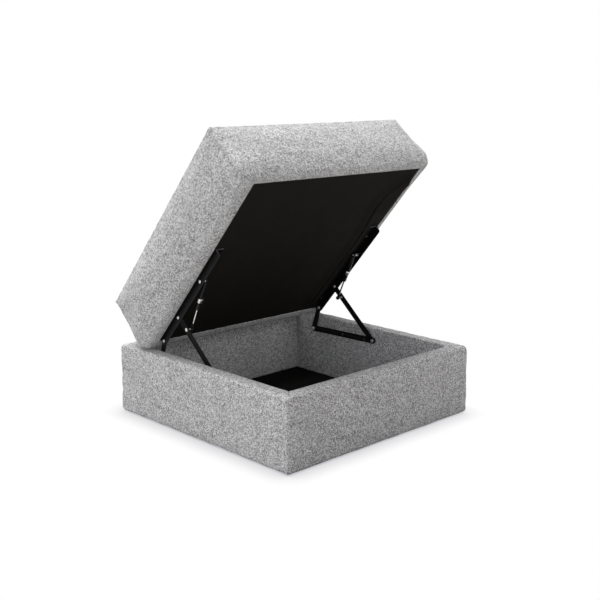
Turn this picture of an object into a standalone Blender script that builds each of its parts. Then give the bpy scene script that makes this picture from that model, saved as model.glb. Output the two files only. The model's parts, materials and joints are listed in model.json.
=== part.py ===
"""Square upholstered ottoman with a lift-up padded lid over an open storage box.

Metres, +Z up, +X to the object's right, -Y to its front. The lid is modelled open, on the two
four-bar lift brackets that carry it. The origin is the centre of the whole object's footprint.
"""

import math

import bmesh
import bpy
from mathutils import Vector
from mathutils.geometry import tessellate_polygon

# Driving dimensions of the storage box
WIDTH = 0.820
DEPTH = 0.820
RIM_HEIGHT = 0.235
WALL = 0.045
OUTER_PAD = 0.012
INNER_PAD = 0.004
RIM_PAD = 0.008
CORNER_RADIUS = 0.018
RIM_RADIUS = 0.014
HEM_RADIUS = 0.005
GLIDE_HEIGHT = 0.0037
FABRIC_BOTTOM = 0.004
SHEET = 0.0008
FLOOR_BOARD = 0.004
FLOOR_LINING = 0.001
SHEET_INSET = 0.014
GLIDE_RADIUS = 0.013
GLIDE_CHAMFER = 0.0012
GLIDE_INSET = 0.034

# Driving dimensions of the lid
LID_WIDTH = 0.819
LID_DEPTH = 0.791
LID_THICKNESS = 0.2158
LID_PAD = 0.012
LID_SIDE_PAD = 0.026
LID_EDGE_RADIUS = 0.012
LID_ROLL_RADIUS = 0.022
LID_CORNER_RADIUS = 0.014
TURN_UNDER = 0.002
TURN_UNDER_SIDE = 0.0413
TURN_UNDER_FRONT = 0.0216
FRAME_FRONT = 0.0196
LID_SHEET = 0.001
FRAME_BOTTOM = 0.0036
FRAME_HEIGHT = 0.040
FRAME_WIDTH = 0.050
DECK_BOARD = 0.009
OPEN_ANGLE = math.radians(49.07)
REAR_EDGE = Vector((0.0, 0.2779, 0.2353))

# Lift bracket pivots: A and B on the box, C and D under the lid, E and F the strut's ends
PIVOT_A = Vector((0.0, 0.2635, 0.1840))
PIVOT_B = Vector((0.0, -0.0341, 0.1903))
PIVOT_DROP = 0.009
C_FROM_REAR = 0.0524
D_FROM_REAR = 0.1745
E_FROM_REAR = 0.3520
F_ALONG_LINK = 0.2050

# Lift bracket sections
PLATE = 0.0025
LINK_THICKNESS = 0.003
LINK_RADIUS = 0.008
BAR_RADIUS = 0.0085
RAIL_INNER_X = 0.3585
LINK_OUTER_X = 0.3580
STRUT_X = 0.3360
RAIL_FLANGE = 0.028
RAIL_DROP = 0.0235
RAIL_START = 0.042
RAIL_END = 0.490
RIVET_RADIUS = 0.004
RIVET_HEAD_RADIUS = 0.007
RIVET_HEAD = 0.0025
RIVET_DOME = ((1.0, 0.62), (0.6, 0.9), (0.2, 1.0), (0.0, 1.0))
NUT_RADIUS = 0.006
NUT_CROWN_RADIUS = 0.0035
NUT_CROWN = 0.6
STUD_RADIUS = 0.003
STUD_TIP = 0.003
STUD_TIP_CHAMFER = 0.001
COLLAR_RADIUS = 0.005
COLLAR_WIDTH = 0.003
SCREW_RADIUS = 0.002
SCREW_HEAD_RADIUS = 0.0045
SCREW_CROWN_RADIUS = 0.0027
SCREW_HEAD = 0.002
SCREW_LENGTH = 0.022
COVER_HOLE_RADIUS = 0.0024
COVER_HOLE_REACH = 0.010
DRILL_SPAN = (-0.004, 0.026)
BORE_OVERRUN = 0.002
BAR_SCREW_PLACES = (0.50, 0.86)
RAIL_SCREW_PLACES = (0.100, 0.440)

# Gas strut
TUBE_RADIUS = 0.0062
FERRULE_RADIUS = 0.0075
FERRULE_START = 0.071
FERRULE_END = 0.081
FERRULE_TAPER = 0.003
FERRULE_CHAMFER = 0.001
TUBE_END = 0.111
TUBE_CHAMFER = 0.0015
TUBE_NECK_RADIUS = 0.0042
BORE_START = 0.010
ROD_RADIUS = 0.003
ROD_CHAMFER = 0.0005
ROD_ENGAGEMENT = 0.012
EYE_RADIUS = 0.006
EYE_OFFSET = 0.0075
EYE_HALF_WIDTH = 0.004
ROD_END_RADIUS = 0.0065
ROD_END_HALF_WIDTH = 0.0045
ROD_END_LENGTH = 0.009

GAP = 0.0003
RUNNING_GAP = 0.00005
MIN_RADIUS = 0.0005
ARC_STEPS = 5
TURN_STEPS = 20
SCREW_STEPS = 12
ROD_STEPS = 16
HALF_TURN = math.pi
RIGHT_ANGLE = math.pi / 2
SIDES = ((-1, "left"), (1, "right"))


# Materials


def finish(name, colour, roughness, metallic=0.0):
    material = bpy.data.materials.new(name)
    material.use_nodes = True
    shader = material.node_tree.nodes["Principled BSDF"]
    shader.inputs["Base Color"].default_value = (*colour, 1.0)
    shader.inputs["Roughness"].default_value = roughness
    shader.inputs["Metallic"].default_value = metallic
    material.diffuse_color = (*colour, 1.0)
    return material


def make_finishes():
    return {
        "tweed": finish("grey_tweed", (0.36, 0.36, 0.37), 0.95),
        "lining": finish("black_lining", (0.012, 0.012, 0.012), 0.9),
        "timber": finish("pine", (0.62, 0.45, 0.27), 0.7),
        "board": finish("plywood", (0.55, 0.40, 0.25), 0.7),
        "foam": finish("foam", (0.80, 0.76, 0.62), 0.95),
        "black_steel": finish("black_powder_coat", (0.015, 0.015, 0.016), 0.45, 0.3),
        "zinc": finish("zinc_plate", (0.62, 0.62, 0.63), 0.3, 0.9),
        "chrome": finish("chromed_rod", (0.75, 0.75, 0.76), 0.12, 1.0),
        "tube": finish("black_gas_tube", (0.012, 0.012, 0.013), 0.3, 0.2),
        "plastic": finish("black_plastic", (0.02, 0.02, 0.02), 0.55),
    }


# Shapes


def box_outline(x_range, y_range, radii=(0.0, 0.0, 0.0, 0.0)):
    """Corners of a rectangle, anticlockwise from low x and low y, each rounded by its radius."""
    (x0, x1), (y0, y1) = x_range, y_range
    corners = ((x0, y0, 1, 1), (x1, y0, -1, 1), (x1, y1, -1, -1), (x0, y1, 1, -1))
    points = []
    for index, (x, y, inward_x, inward_y) in enumerate(corners):
        radius = radii[index]
        if radius == 0.0:
            points.append((x, y))
            continue
        start = HALF_TURN + index * RIGHT_ANGLE
        for step in range(ARC_STEPS + 1):
            angle = start + RIGHT_ANGLE * step / ARC_STEPS
            points.append(
                (
                    x + radius * (inward_x + math.cos(angle)),
                    y + radius * (inward_y + math.sin(angle)),
                )
            )
    return points


def circle(centre, radius, steps=TURN_STEPS):
    turn = 2 * HALF_TURN / steps
    return [
        (centre[0] + radius * math.cos(i * turn), centre[1] + radius * math.sin(i * turn))
        for i in range(steps)
    ]


def round_ended(start, end, radius, steps=8):
    """Outline of a flat bar with half-round ends about two centres."""
    heading = math.atan2(end[1] - start[1], end[0] - start[0])
    points = []
    for centre, first in ((end, heading - RIGHT_ANGLE), (start, heading + RIGHT_ANGLE)):
        for step in range(steps + 1):
            angle = first + HALF_TURN * step / steps
            points.append((centre[0] + radius * math.cos(angle), centre[1] + radius * math.sin(angle)))
    return points


def flat_plate(outline, low, high, axis="Z", holes=()):
    """A plate with straight sides: the outline and its holes, extruded along an axis."""
    place = {
        "Z": lambda u, v, w: (u, v, w),
        "X": lambda u, v, w: (w, u, v),
    }[axis]
    loops = [list(outline), *[list(hole) for hole in holes]]
    flat = [Vector((u, v, 0.0)) for loop in loops for u, v in loop]
    fill = tessellate_polygon([[Vector((u, v, 0.0)) for u, v in loop] for loop in loops])
    mesh = bmesh.new()
    bottom = [mesh.verts.new(place(point.x, point.y, low)) for point in flat]
    top = [mesh.verts.new(place(point.x, point.y, high)) for point in flat]
    for a, b, c in fill:
        mesh.faces.new((bottom[a], bottom[b], bottom[c]))
        mesh.faces.new((top[a], top[b], top[c]))
    first = 0
    for loop in loops:
        count = len(loop)
        for i in range(count):
            j = (i + 1) % count
            mesh.faces.new((bottom[first + i], bottom[first + j], top[first + j], top[first + i]))
        first += count
    return mesh


def lofted(loops, closed_ring):
    """A skin through loops of equal length, joined end to end or capped at both ends."""
    mesh = bmesh.new()
    rings = [[mesh.verts.new(point) for point in loop] for loop in loops]
    pairs = list(zip(rings, rings[1:]))
    if closed_ring:
        pairs.append((rings[-1], rings[0]))
    for ring, following in pairs:
        count = len(ring)
        for i in range(count):
            j = (i + 1) % count
            mesh.faces.new((ring[i], ring[j], following[j], following[i]))
    if not closed_ring:
        mesh.faces.new(rings[0])
        mesh.faces.new(rings[-1])
    return mesh


def turned(profile, axis="X", steps=TURN_STEPS):
    """A solid of revolution about an axis through the origin: (distance along it, radius) points."""
    place = {
        "X": lambda along, across, up: (along, across, up),
        "Y": lambda along, across, up: (across, along, up),
        "Z": lambda along, across, up: (across, up, along),
    }[axis]
    loops = []
    for along, radius in profile:
        loops.append([place(along, u, v) for u, v in circle((0.0, 0.0), radius, steps)])
    return lofted(loops, closed_ring=False)


def arc_profile(centre, radius, first, last, steps=ARC_STEPS):
    """(inset, height) points on an arc, angles measured from outwards towards up."""
    points = []
    for step in range(steps + 1):
        angle = first + (last - first) * step / steps
        points.append((centre[0] - radius * math.cos(angle), centre[1] + radius * math.sin(angle)))
    return points


# Objects


def add_empty(name, parent, location=(0.0, 0.0, 0.0), tilt=0.0):
    empty = bpy.data.objects.new(name, None)
    bpy.context.scene.collection.objects.link(empty)
    empty.parent = parent
    empty.location = location
    empty.rotation_euler.x = tilt
    empty.empty_display_size = 0.03
    return empty


def add_part(name, mesh, material, parent, location=(0.0, 0.0, 0.0)):
    bmesh.ops.recalc_face_normals(mesh, faces=mesh.faces)
    data = bpy.data.meshes.new(name)
    mesh.to_mesh(data)
    mesh.free()
    data.materials.append(material)
    part = bpy.data.objects.new(name, data)
    bpy.context.scene.collection.objects.link(part)
    part.parent = parent
    part.location = location
    return part


def smooth(part, angle=math.radians(35)):
    part.data.shade_smooth()
    part.data.set_sharp_from_angle(angle=angle)
    return part


def add_cutter(name, mesh, parent, location=(0.0, 0.0, 0.0)):
    cutter = add_part(name, mesh, bpy.data.materials["zinc_plate"], parent, location)
    cutter.hide_render = True
    cutter.display_type = "WIRE"
    return cutter


def combine(part, tool, operation):
    modifier = part.modifiers.new(f"{operation.lower()}_{tool.name}", "BOOLEAN")
    modifier.operation = operation
    modifier.object = tool
    modifier.solver = "EXACT"


def side_x(side, distance):
    """The two ends of a slab in X, given for the right-hand side and mirrored for the left."""
    low, high = distance
    return (low, high) if side > 0 else (-high, -low)


# Storage box


def rectangle_loop(half_x, half_y, radius, height):
    outline = box_outline((-half_x, half_x), (-half_y, half_y), (radius,) * 4)
    return [(x, y, height) for x, y in outline]


def make_base_cover(material, root):
    """Padded fabric over the walls: one ring with an upside-down U for its section."""
    slot_top = RIM_HEIGHT - RIM_PAD
    hem = (HEM_RADIUS, FABRIC_BOTTOM + HEM_RADIUS)
    outer_rim = (RIM_RADIUS, RIM_HEIGHT - RIM_RADIUS)
    inner_rim = (WALL - INNER_PAD, RIM_HEIGHT - INNER_PAD)
    section = arc_profile(hem, HEM_RADIUS, -RIGHT_ANGLE, 0.0, 3)
    section += arc_profile(outer_rim, RIM_RADIUS, 0.0, RIGHT_ANGLE)
    section += arc_profile(inner_rim, INNER_PAD, RIGHT_ANGLE, HALF_TURN, 3)
    lining_level = floor_board_top() + GAP
    section += [(WALL, lining_level), (WALL - INNER_PAD, lining_level)]
    section += [(WALL - INNER_PAD, slot_top), (OUTER_PAD, slot_top), (OUTER_PAD, FABRIC_BOTTOM)]
    loops = []
    for inset, height in section:
        radius = max(CORNER_RADIUS - inset, MIN_RADIUS)
        loops.append(rectangle_loop(WIDTH / 2 - inset, DEPTH / 2 - inset, radius, height))
    cover = smooth(add_part("base_cover", lofted(loops, closed_ring=True), material, root))
    hole = ((-COVER_HOLE_REACH, COVER_HOLE_RADIUS), (COVER_HOLE_REACH, COVER_HOLE_RADIUS))
    middle = WIDTH / 2 - WALL + INNER_PAD / 2
    for side, label in SIDES:
        for index, (y, z) in enumerate(bar_screw_points()):
            drill = turned(hole, steps=SCREW_STEPS)
            cutter = add_cutter(f"cover_drill_{label}_{index}", drill, root, (side * middle, y, z))
            combine(cover, cutter, "DIFFERENCE")


def floor_board_top():
    return FABRIC_BOTTOM + SHEET + GAP + FLOOR_BOARD


def bar_screw_points():
    points = [PIVOT_A.lerp(PIVOT_B, fraction) for fraction in BAR_SCREW_PLACES]
    return [(point.y, point.z) for point in points]


def make_wall_panels(material, root):
    outer_x = WIDTH / 2 - OUTER_PAD - GAP
    outer_y = DEPTH / 2 - OUTER_PAD - GAP
    thickness = WALL - OUTER_PAD - INNER_PAD - 2 * GAP
    bottom = FABRIC_BOTTOM + SHEET + GAP
    top = RIM_HEIGHT - RIM_PAD - GAP
    edge = CORNER_RADIUS - OUTER_PAD - GAP
    front = box_outline((-outer_x, outer_x), (-outer_y, thickness - outer_y), (edge, edge, 0.0, 0.0))
    rear = box_outline((-outer_x, outer_x), (outer_y - thickness, outer_y), (0.0, 0.0, edge, edge))
    add_part("base_front_panel", flat_plate(front, bottom, top), material, root)
    add_part("base_rear_panel", flat_plate(rear, bottom, top), material, root)
    inner_y = outer_y - thickness - GAP
    outline = box_outline((-inner_y, inner_y), (bottom, top))
    holes = [circle(point, SCREW_RADIUS + GAP, SCREW_STEPS) for point in bar_screw_points()]
    for side, label in SIDES:
        low, high = side_x(side, (outer_x - thickness, outer_x))
        panel = flat_plate(outline, low, high, "X", holes)
        add_part(f"base_{label}_panel", panel, material, root)


def make_floor(finishes, root):
    half_x = WIDTH / 2 - WALL + INNER_PAD - GAP
    half_y = DEPTH / 2 - WALL + INNER_PAD - GAP
    top = floor_board_top()
    board = flat_plate(box_outline((-half_x, half_x), (-half_y, half_y)), top - FLOOR_BOARD, top)
    add_part("base_floor_panel", board, finishes["board"], root)
    inner_x = WIDTH / 2 - WALL - GAP
    inner_y = DEPTH / 2 - WALL - GAP
    outline = box_outline((-inner_x, inner_x), (-inner_y, inner_y))
    lining = flat_plate(outline, top + GAP, top + GAP + FLOOR_LINING)
    add_part("base_floor_lining", lining, finishes["lining"], root)
    sheet_x = WIDTH / 2 - SHEET_INSET
    sheet_y = DEPTH / 2 - SHEET_INSET
    outline = box_outline((-sheet_x, sheet_x), (-sheet_y, sheet_y))
    sheet = flat_plate(outline, FABRIC_BOTTOM, FABRIC_BOTTOM + SHEET)
    add_part("base_dust_cover", sheet, finishes["lining"], root)


def make_glides(material, root):
    profile = (
        (0.0, GLIDE_RADIUS - GLIDE_CHAMFER),
        (GLIDE_CHAMFER, GLIDE_RADIUS),
        (GLIDE_HEIGHT, GLIDE_RADIUS),
    )
    for side, label in SIDES:
        for end, name in ((-1, "front"), (1, "rear")):
            place = (side * (WIDTH / 2 - GLIDE_INSET), end * (DEPTH / 2 - GLIDE_INSET), 0.0)
            glide = add_part(f"base_glide_{name}_{label}", turned(profile, "Z"), material, root, place)
            smooth(glide)


# Lift brackets


def lid_point(from_rear, height):
    """World place, seen from the side, of a point under the open lid."""
    cos, sin = math.cos(OPEN_ANGLE), math.sin(OPEN_ANGLE)
    return REAR_EDGE + Vector((0.0, height * sin - from_rear * cos, height * cos + from_rear * sin))


def heading(start, end):
    return math.atan2(end.z - start.z, end.y - start.y)


def link_inner_x():
    return LINK_OUTER_X - LINK_THICKNESS


def along_side(side, profile):
    """A turned piece along X, its profile given for the right-hand side and mirrored for the left."""
    return turned([(side * along, radius) for along, radius in profile])


def nut(face):
    """Profile of the outboard head that a rivet or stud is spread into."""
    return [
        (face, NUT_RADIUS),
        (face + NUT_CROWN * RIVET_HEAD, NUT_RADIUS),
        (face + RIVET_HEAD, NUT_CROWN_RADIUS),
    ]


def rivet(side, inboard, outboard, domed=True, spread=False):
    """A rivet along X, with a domed head inboard, or a spread head outboard, or both."""
    profile = []
    if domed:
        for height, width in RIVET_DOME:
            profile.append((inboard - height * RIVET_HEAD, width * RIVET_HEAD_RADIUS))
    profile += [(inboard, RIVET_RADIUS), (outboard, RIVET_RADIUS)]
    if spread:
        profile += nut(outboard)
    return along_side(side, profile)


def make_base_bracket(side, label, finishes, root):
    """The flat bar on the side wall, with both lower pivots and its countersunk screws."""
    a, b = (PIVOT_A.y, PIVOT_A.z), (PIVOT_B.y, PIVOT_B.z)
    wall_face = WIDTH / 2 - WALL - GAP
    holes = [circle(point, RIVET_RADIUS + RUNNING_GAP) for point in (a, b)]
    holes += [circle(point, SCREW_RADIUS + GAP, SCREW_STEPS) for point in bar_screw_points()]
    low, high = side_x(side, (RAIL_INNER_X, wall_face))
    bar = flat_plate(round_ended(a, b, BAR_RADIUS), low, high, "X", holes)
    smooth(add_part(f"base_bracket_{label}", bar, finishes["black_steel"], root))
    for name, pivot in (("rear", PIVOT_A), ("front", PIVOT_B)):
        pin = rivet(side, link_inner_x() - GAP, wall_face)
        smooth(add_part(f"base_{name}_pivot_{label}", pin, finishes["zinc"], root, pivot))
    ends = (side * RAIL_INNER_X, side * (RAIL_INNER_X + SCREW_LENGTH))
    for name, (y, z) in zip(("middle", "front"), bar_screw_points()):
        screw = turned([(end, SCREW_RADIUS) for end in ends], steps=SCREW_STEPS)
        smooth(add_part(f"bracket_{name}_screw_{label}", screw, finishes["zinc"], root, (0.0, y, z)))


def make_rear_link(side, label, finishes, root):
    pivot_c = lid_point(C_FROM_REAR, -PIVOT_DROP)
    length = (pivot_c - PIVOT_A).length
    axis = add_empty(f"rear_link_axis_{label}", root, PIVOT_A, heading(PIVOT_A, pivot_c))
    ends = ((0.0, 0.0), (length, 0.0))
    holes = [circle(point, RIVET_RADIUS + RUNNING_GAP) for point in ends]
    low, high = side_x(side, (link_inner_x(), LINK_OUTER_X))
    link = flat_plate(round_ended(*ends, LINK_RADIUS), low, high, "X", holes)
    smooth(add_part(f"rear_link_{label}", link, finishes["black_steel"], axis))


def front_link_length():
    return (lid_point(D_FROM_REAR, -PIVOT_DROP) - PIVOT_B).length


def front_link_tilt():
    return heading(PIVOT_B, lid_point(D_FROM_REAR, -PIVOT_DROP))


def make_front_link(side, label, finishes, root):
    """The long link, with its own half of the upper rivet and the strut's lower stud."""
    length = front_link_length()
    axis = add_empty(f"front_link_axis_{label}", root, PIVOT_B, front_link_tilt())
    ends = ((0.0, 0.0), (length, 0.0))
    holes = [circle(point, RIVET_RADIUS + RUNNING_GAP) for point in ends]
    stud_place = (F_ALONG_LINK, 0.0)
    holes.append(circle(stud_place, STUD_RADIUS + GAP))
    low, high = side_x(side, (link_inner_x(), LINK_OUTER_X))
    link = flat_plate(round_ended(*ends, LINK_RADIUS), low, high, "X", holes)
    smooth(add_part(f"front_link_{label}", link, finishes["black_steel"], axis))
    inboard = link_inner_x() - GAP
    top_rivet = rivet(side, inboard, LINK_OUTER_X)
    place = (0.0, length, 0.0)
    smooth(add_part(f"front_link_rivet_{label}", top_rivet, finishes["zinc"], axis, place))
    profile = (
        (STRUT_X + ROD_END_HALF_WIDTH + GAP, STUD_RADIUS),
        (inboard - COLLAR_WIDTH, STUD_RADIUS),
        (inboard - COLLAR_WIDTH, COLLAR_RADIUS),
        (inboard, COLLAR_RADIUS),
        (inboard, STUD_RADIUS),
        (LINK_OUTER_X, STUD_RADIUS),
    )
    place = (0.0, F_ALONG_LINK, 0.0)
    stud = along_side(side, profile)
    smooth(add_part(f"strut_lower_stud_{label}", stud, finishes["zinc"], axis, place))


# Lid. Its local frame starts at pivot C: +Y to the lid's rear, +Z out of its top


def lid_y(from_rear):
    return C_FROM_REAR - from_rear


def lid_z(height):
    return height + PIVOT_DROP


def lid_loop(inset_side, inset_rear, inset_front, height, radius=None):
    if radius is None:
        radius = max(LID_CORNER_RADIUS - min(inset_side, inset_rear, inset_front), MIN_RADIUS)
    half_x = LID_WIDTH / 2 - inset_side
    y_range = (lid_y(LID_DEPTH - inset_front), lid_y(inset_rear))
    outline = box_outline((-half_x, half_x), y_range, (radius,) * 4)
    return [(x, y, lid_z(height)) for x, y in outline]


def frame_top():
    return FRAME_BOTTOM + FRAME_HEIGHT


def deck_top():
    return frame_top() + GAP + DECK_BOARD


def make_lid_cover(material, lid):
    """The padded outer shell, open underneath, its edge turned under the frame."""
    step = deck_top() + GAP / 2
    loops = [
        lid_loop(LID_PAD, LID_PAD, LID_PAD, LID_THICKNESS - LID_PAD),
        lid_loop(LID_PAD, LID_PAD, LID_PAD, step),
        lid_loop(LID_SIDE_PAD, LID_SIDE_PAD, FRAME_FRONT, step),
        lid_loop(LID_SIDE_PAD, LID_SIDE_PAD, FRAME_FRONT, TURN_UNDER),
        lid_loop(TURN_UNDER_SIDE, TURN_UNDER_SIDE, TURN_UNDER_FRONT, TURN_UNDER, MIN_RADIUS),
        lid_loop(TURN_UNDER_SIDE, TURN_UNDER_SIDE, TURN_UNDER_FRONT, 0.0, MIN_RADIUS),
    ]
    roll = min(LID_ROLL_RADIUS, TURN_UNDER_FRONT - 0.001)
    for inset, height in arc_profile((roll, roll), roll, -RIGHT_ANGLE, 0.0):
        loops.append(lid_loop(inset, inset, inset, height))
    centre = (LID_EDGE_RADIUS, LID_THICKNESS - LID_EDGE_RADIUS)
    for inset, height in arc_profile(centre, LID_EDGE_RADIUS, 0.0, RIGHT_ANGLE):
        loops.append(lid_loop(inset, inset, inset, height))
    return smooth(add_part("lid_cover", lofted(loops, closed_ring=False), material, lid))


def lid_block(inset_x, front, rear, low, high, edge=0.0):
    """A block in the lid, from its side, front and rear insets, its heights and its upright edges."""
    half_x = LID_WIDTH / 2 - inset_x
    y_range = (lid_y(LID_DEPTH - front), lid_y(rear))
    return flat_plate(box_outline((-half_x, half_x), y_range, (edge,) * 4), lid_z(low), lid_z(high))


def make_lid_frame(finishes, lid, drills):
    """Timber frame, plywood deck and foam block."""
    inset = LID_SIDE_PAD + GAP
    front = FRAME_FRONT + GAP
    low, high = FRAME_BOTTOM, frame_top()
    timber = finishes["timber"]
    rear_of_front_rail = LID_DEPTH - front - FRAME_WIDTH
    front_of_rear_rail = LID_DEPTH - inset - FRAME_WIDTH
    front_rail = lid_block(inset, front, rear_of_front_rail, low, high)
    add_part("lid_front_rail", front_rail, timber, lid)
    rear_rail = lid_block(inset, front_of_rear_rail, inset, low, high)
    add_part("lid_rear_rail", rear_rail, timber, lid)
    outer = LID_WIDTH / 2 - inset
    span = (lid_y(rear_of_front_rail - GAP), lid_y(inset + FRAME_WIDTH + GAP))
    for side, label in SIDES:
        outline = box_outline(side_x(side, (outer - FRAME_WIDTH, outer)), span)
        rail = add_part(f"lid_{label}_rail", flat_plate(outline, lid_z(low), lid_z(high)), timber, lid)
        for drill in drills[label]:
            combine(rail, drill, "DIFFERENCE")
    outline = box_outline((-FRAME_WIDTH / 2, FRAME_WIDTH / 2), span)
    add_part("lid_centre_rail", flat_plate(outline, lid_z(low), lid_z(high)), timber, lid)
    deck = lid_block(inset, front, inset, high + GAP, deck_top())
    add_part("lid_deck_panel", deck, finishes["board"], lid)
    skin = LID_PAD + GAP
    foam_top = LID_THICKNESS - skin
    foam = lid_block(skin, skin, skin, deck_top() + GAP, foam_top, LID_CORNER_RADIUS - LID_PAD)
    add_part("lid_foam", foam, finishes["foam"], lid)


def make_lid_sheet(material, lid, drills):
    inset = TURN_UNDER_SIDE + GAP
    top = FRAME_BOTTOM - GAP
    sheet = lid_block(inset, TURN_UNDER_FRONT + GAP, inset, top - LID_SHEET, top)
    part = add_part("lid_dust_cover", sheet, material, lid)
    for drill in drills["left"] + drills["right"]:
        combine(part, drill, "DIFFERENCE")


def screw_x():
    return RAIL_INNER_X - RAIL_FLANGE / 2


def add_screw_drills(lid):
    """Cutters for the wood screws that hold the two lid rails."""
    drills = {}
    hole = [(lid_z(height), SCREW_RADIUS + GAP) for height in DRILL_SPAN]
    for side, label in SIDES:
        drills[label] = []
        for index, place in enumerate(RAIL_SCREW_PLACES):
            where = (side * screw_x(), lid_y(place), 0.0)
            drill = turned(hole, "Z", SCREW_STEPS)
            drills[label].append(add_cutter(f"drill_{label}_{index}", drill, lid, where))
    return drills


def flange_top():
    return FRAME_BOTTOM - 2 * GAP - LID_SHEET


def make_lid_rail(side, label, finishes, lid, drills):
    """The angle under the lid: one flange against the frame, one hanging down with the pivots."""
    outer = RAIL_INNER_X + PLATE
    flange_edge = RAIL_INNER_X - RAIL_FLANGE
    top = lid_z(flange_top())
    corners = (
        (flange_edge, top - PLATE),
        (RAIL_INNER_X, top - PLATE),
        (RAIL_INNER_X, lid_z(-RAIL_DROP)),
        (outer, lid_z(-RAIL_DROP)),
        (outer, top),
        (flange_edge, top),
    )
    loops = []
    for place in (RAIL_START, RAIL_END):
        loops.append([(side * x, lid_y(place), z) for x, z in corners])
    rail = add_part(f"lid_angle_{label}", lofted(loops, closed_ring=False), finishes["black_steel"], lid)
    bores = (
        (C_FROM_REAR, RIVET_RADIUS + RUNNING_GAP),
        (D_FROM_REAR, RIVET_RADIUS + RUNNING_GAP),
        (E_FROM_REAR, STUD_RADIUS + RUNNING_GAP),
    )
    for index, (place, radius) in enumerate(bores):
        bore = along_side(side, ((RAIL_INNER_X - BORE_OVERRUN, radius), (outer + BORE_OVERRUN, radius)))
        cutter = add_cutter(f"angle_bore_{label}_{index}", bore, lid, (0.0, lid_y(place), 0.0))
        combine(rail, cutter, "DIFFERENCE")
    for drill in drills[label]:
        combine(rail, drill, "DIFFERENCE")


def make_rail_hardware(side, label, finishes, lid):
    """Pivot C's through rivet, the lid's half of D, the strut's upper stud and the screws."""
    zinc = finishes["zinc"]
    outer = RAIL_INNER_X + PLATE + GAP
    collar_end = RAIL_INNER_X - GAP
    shoulder = STRUT_X + EYE_HALF_WIDTH + GAP
    tip = STRUT_X - EYE_HALF_WIDTH - STUD_TIP
    stud = [
        (tip, STUD_RADIUS * NUT_CROWN),
        (tip + STUD_TIP_CHAMFER, STUD_RADIUS),
        (shoulder, STUD_RADIUS),
        (shoulder, COLLAR_RADIUS),
        (collar_end, COLLAR_RADIUS),
        (collar_end, STUD_RADIUS),
        (outer, STUD_RADIUS),
    ]
    pieces = (
        ("lid_rear_pivot", C_FROM_REAR, rivet(side, link_inner_x() - GAP, outer, spread=True)),
        ("lid_front_pivot", D_FROM_REAR, rivet(side, RAIL_INNER_X, outer, domed=False, spread=True)),
        ("strut_upper_stud", E_FROM_REAR, along_side(side, stud + nut(outer))),
    )
    for name, place, mesh in pieces:
        smooth(add_part(f"{name}_{label}", mesh, zinc, lid, (0.0, lid_y(place), 0.0)))
    under = lid_z(flange_top() - PLATE - GAP)
    profile = (
        (under - SCREW_HEAD, SCREW_CROWN_RADIUS),
        (under - SCREW_HEAD / 2, SCREW_HEAD_RADIUS),
        (under, SCREW_HEAD_RADIUS),
        (under, SCREW_RADIUS),
        (under + SCREW_LENGTH, SCREW_RADIUS),
    )
    for name, place in zip(("rear", "front"), RAIL_SCREW_PLACES):
        screw = turned(profile, "Z", SCREW_STEPS)
        where = (side * screw_x(), lid_y(place), 0.0)
        smooth(add_part(f"angle_{name}_screw_{label}", screw, zinc, lid, where))


# Gas struts. Their local frame starts at the upper stud: +Y along the strut to its lower end


def strut_lower_end():
    along_link = front_link_tilt()
    return PIVOT_B + F_ALONG_LINK * Vector((0.0, math.cos(along_link), math.sin(along_link)))


def gas_cylinder(axis, label, material):
    """The tube, with its blind bore, its ferrule and the eye at its upper end."""
    bore = ROD_RADIUS + RUNNING_GAP
    profile = (
        (BORE_START, bore),
        (TUBE_END, bore),
        (TUBE_END, TUBE_RADIUS - TUBE_CHAMFER),
        (TUBE_END - TUBE_CHAMFER, TUBE_RADIUS),
        (FERRULE_END, TUBE_RADIUS),
        (FERRULE_END - FERRULE_CHAMFER, FERRULE_RADIUS),
        (FERRULE_START + FERRULE_TAPER, FERRULE_RADIUS),
        (FERRULE_START, TUBE_RADIUS),
        (BORE_START, TUBE_RADIUS),
        (EYE_RADIUS, TUBE_NECK_RADIUS),
    )
    tube = add_part(f"gas_cylinder_{label}", turned(profile, "Y"), material, axis)
    hole = circle((0.0, 0.0), STUD_RADIUS + RUNNING_GAP)
    outline = round_ended((0.0, 0.0), (EYE_OFFSET, 0.0), EYE_RADIUS)
    eye = flat_plate(outline, -EYE_HALF_WIDTH, EYE_HALF_WIDTH, "X", [hole])
    combine(tube, add_cutter(f"cylinder_eye_{label}", eye, axis), "UNION")
    return tube


def gas_rod(length):
    top = TUBE_END - ROD_ENGAGEMENT
    profile = (
        (top, ROD_RADIUS - ROD_CHAMFER),
        (top + ROD_CHAMFER, ROD_RADIUS),
        (length - ROD_END_LENGTH - GAP, ROD_RADIUS),
    )
    return turned(profile, "Y", ROD_STEPS)


def gas_rod_end(length):
    start = (length - ROD_END_LENGTH + ROD_END_RADIUS, 0.0)
    outline = round_ended(start, (length, 0.0), ROD_END_RADIUS)
    return flat_plate(outline, -ROD_END_HALF_WIDTH, ROD_END_HALF_WIDTH, "X")


def make_gas_strut(side, label, finishes, root):
    upper = lid_point(E_FROM_REAR, -PIVOT_DROP)
    lower = strut_lower_end()
    length = (lower - upper).length
    place = (side * STRUT_X, upper.y, upper.z)
    axis = add_empty(f"gas_strut_axis_{label}", root, place, heading(upper, lower))
    smooth(gas_cylinder(axis, label, finishes["tube"]))
    smooth(add_part(f"gas_rod_{label}", gas_rod(length), finishes["chrome"], axis))
    smooth(add_part(f"gas_rod_end_{label}", gas_rod_end(length), finishes["plastic"], axis))


def rear_overhang():
    """How far the open lid's rounded top rear edge reaches behind the box."""
    centre = lid_point(LID_EDGE_RADIUS, LID_THICKNESS - LID_EDGE_RADIUS)
    return centre.y + LID_EDGE_RADIUS - DEPTH / 2


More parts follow.
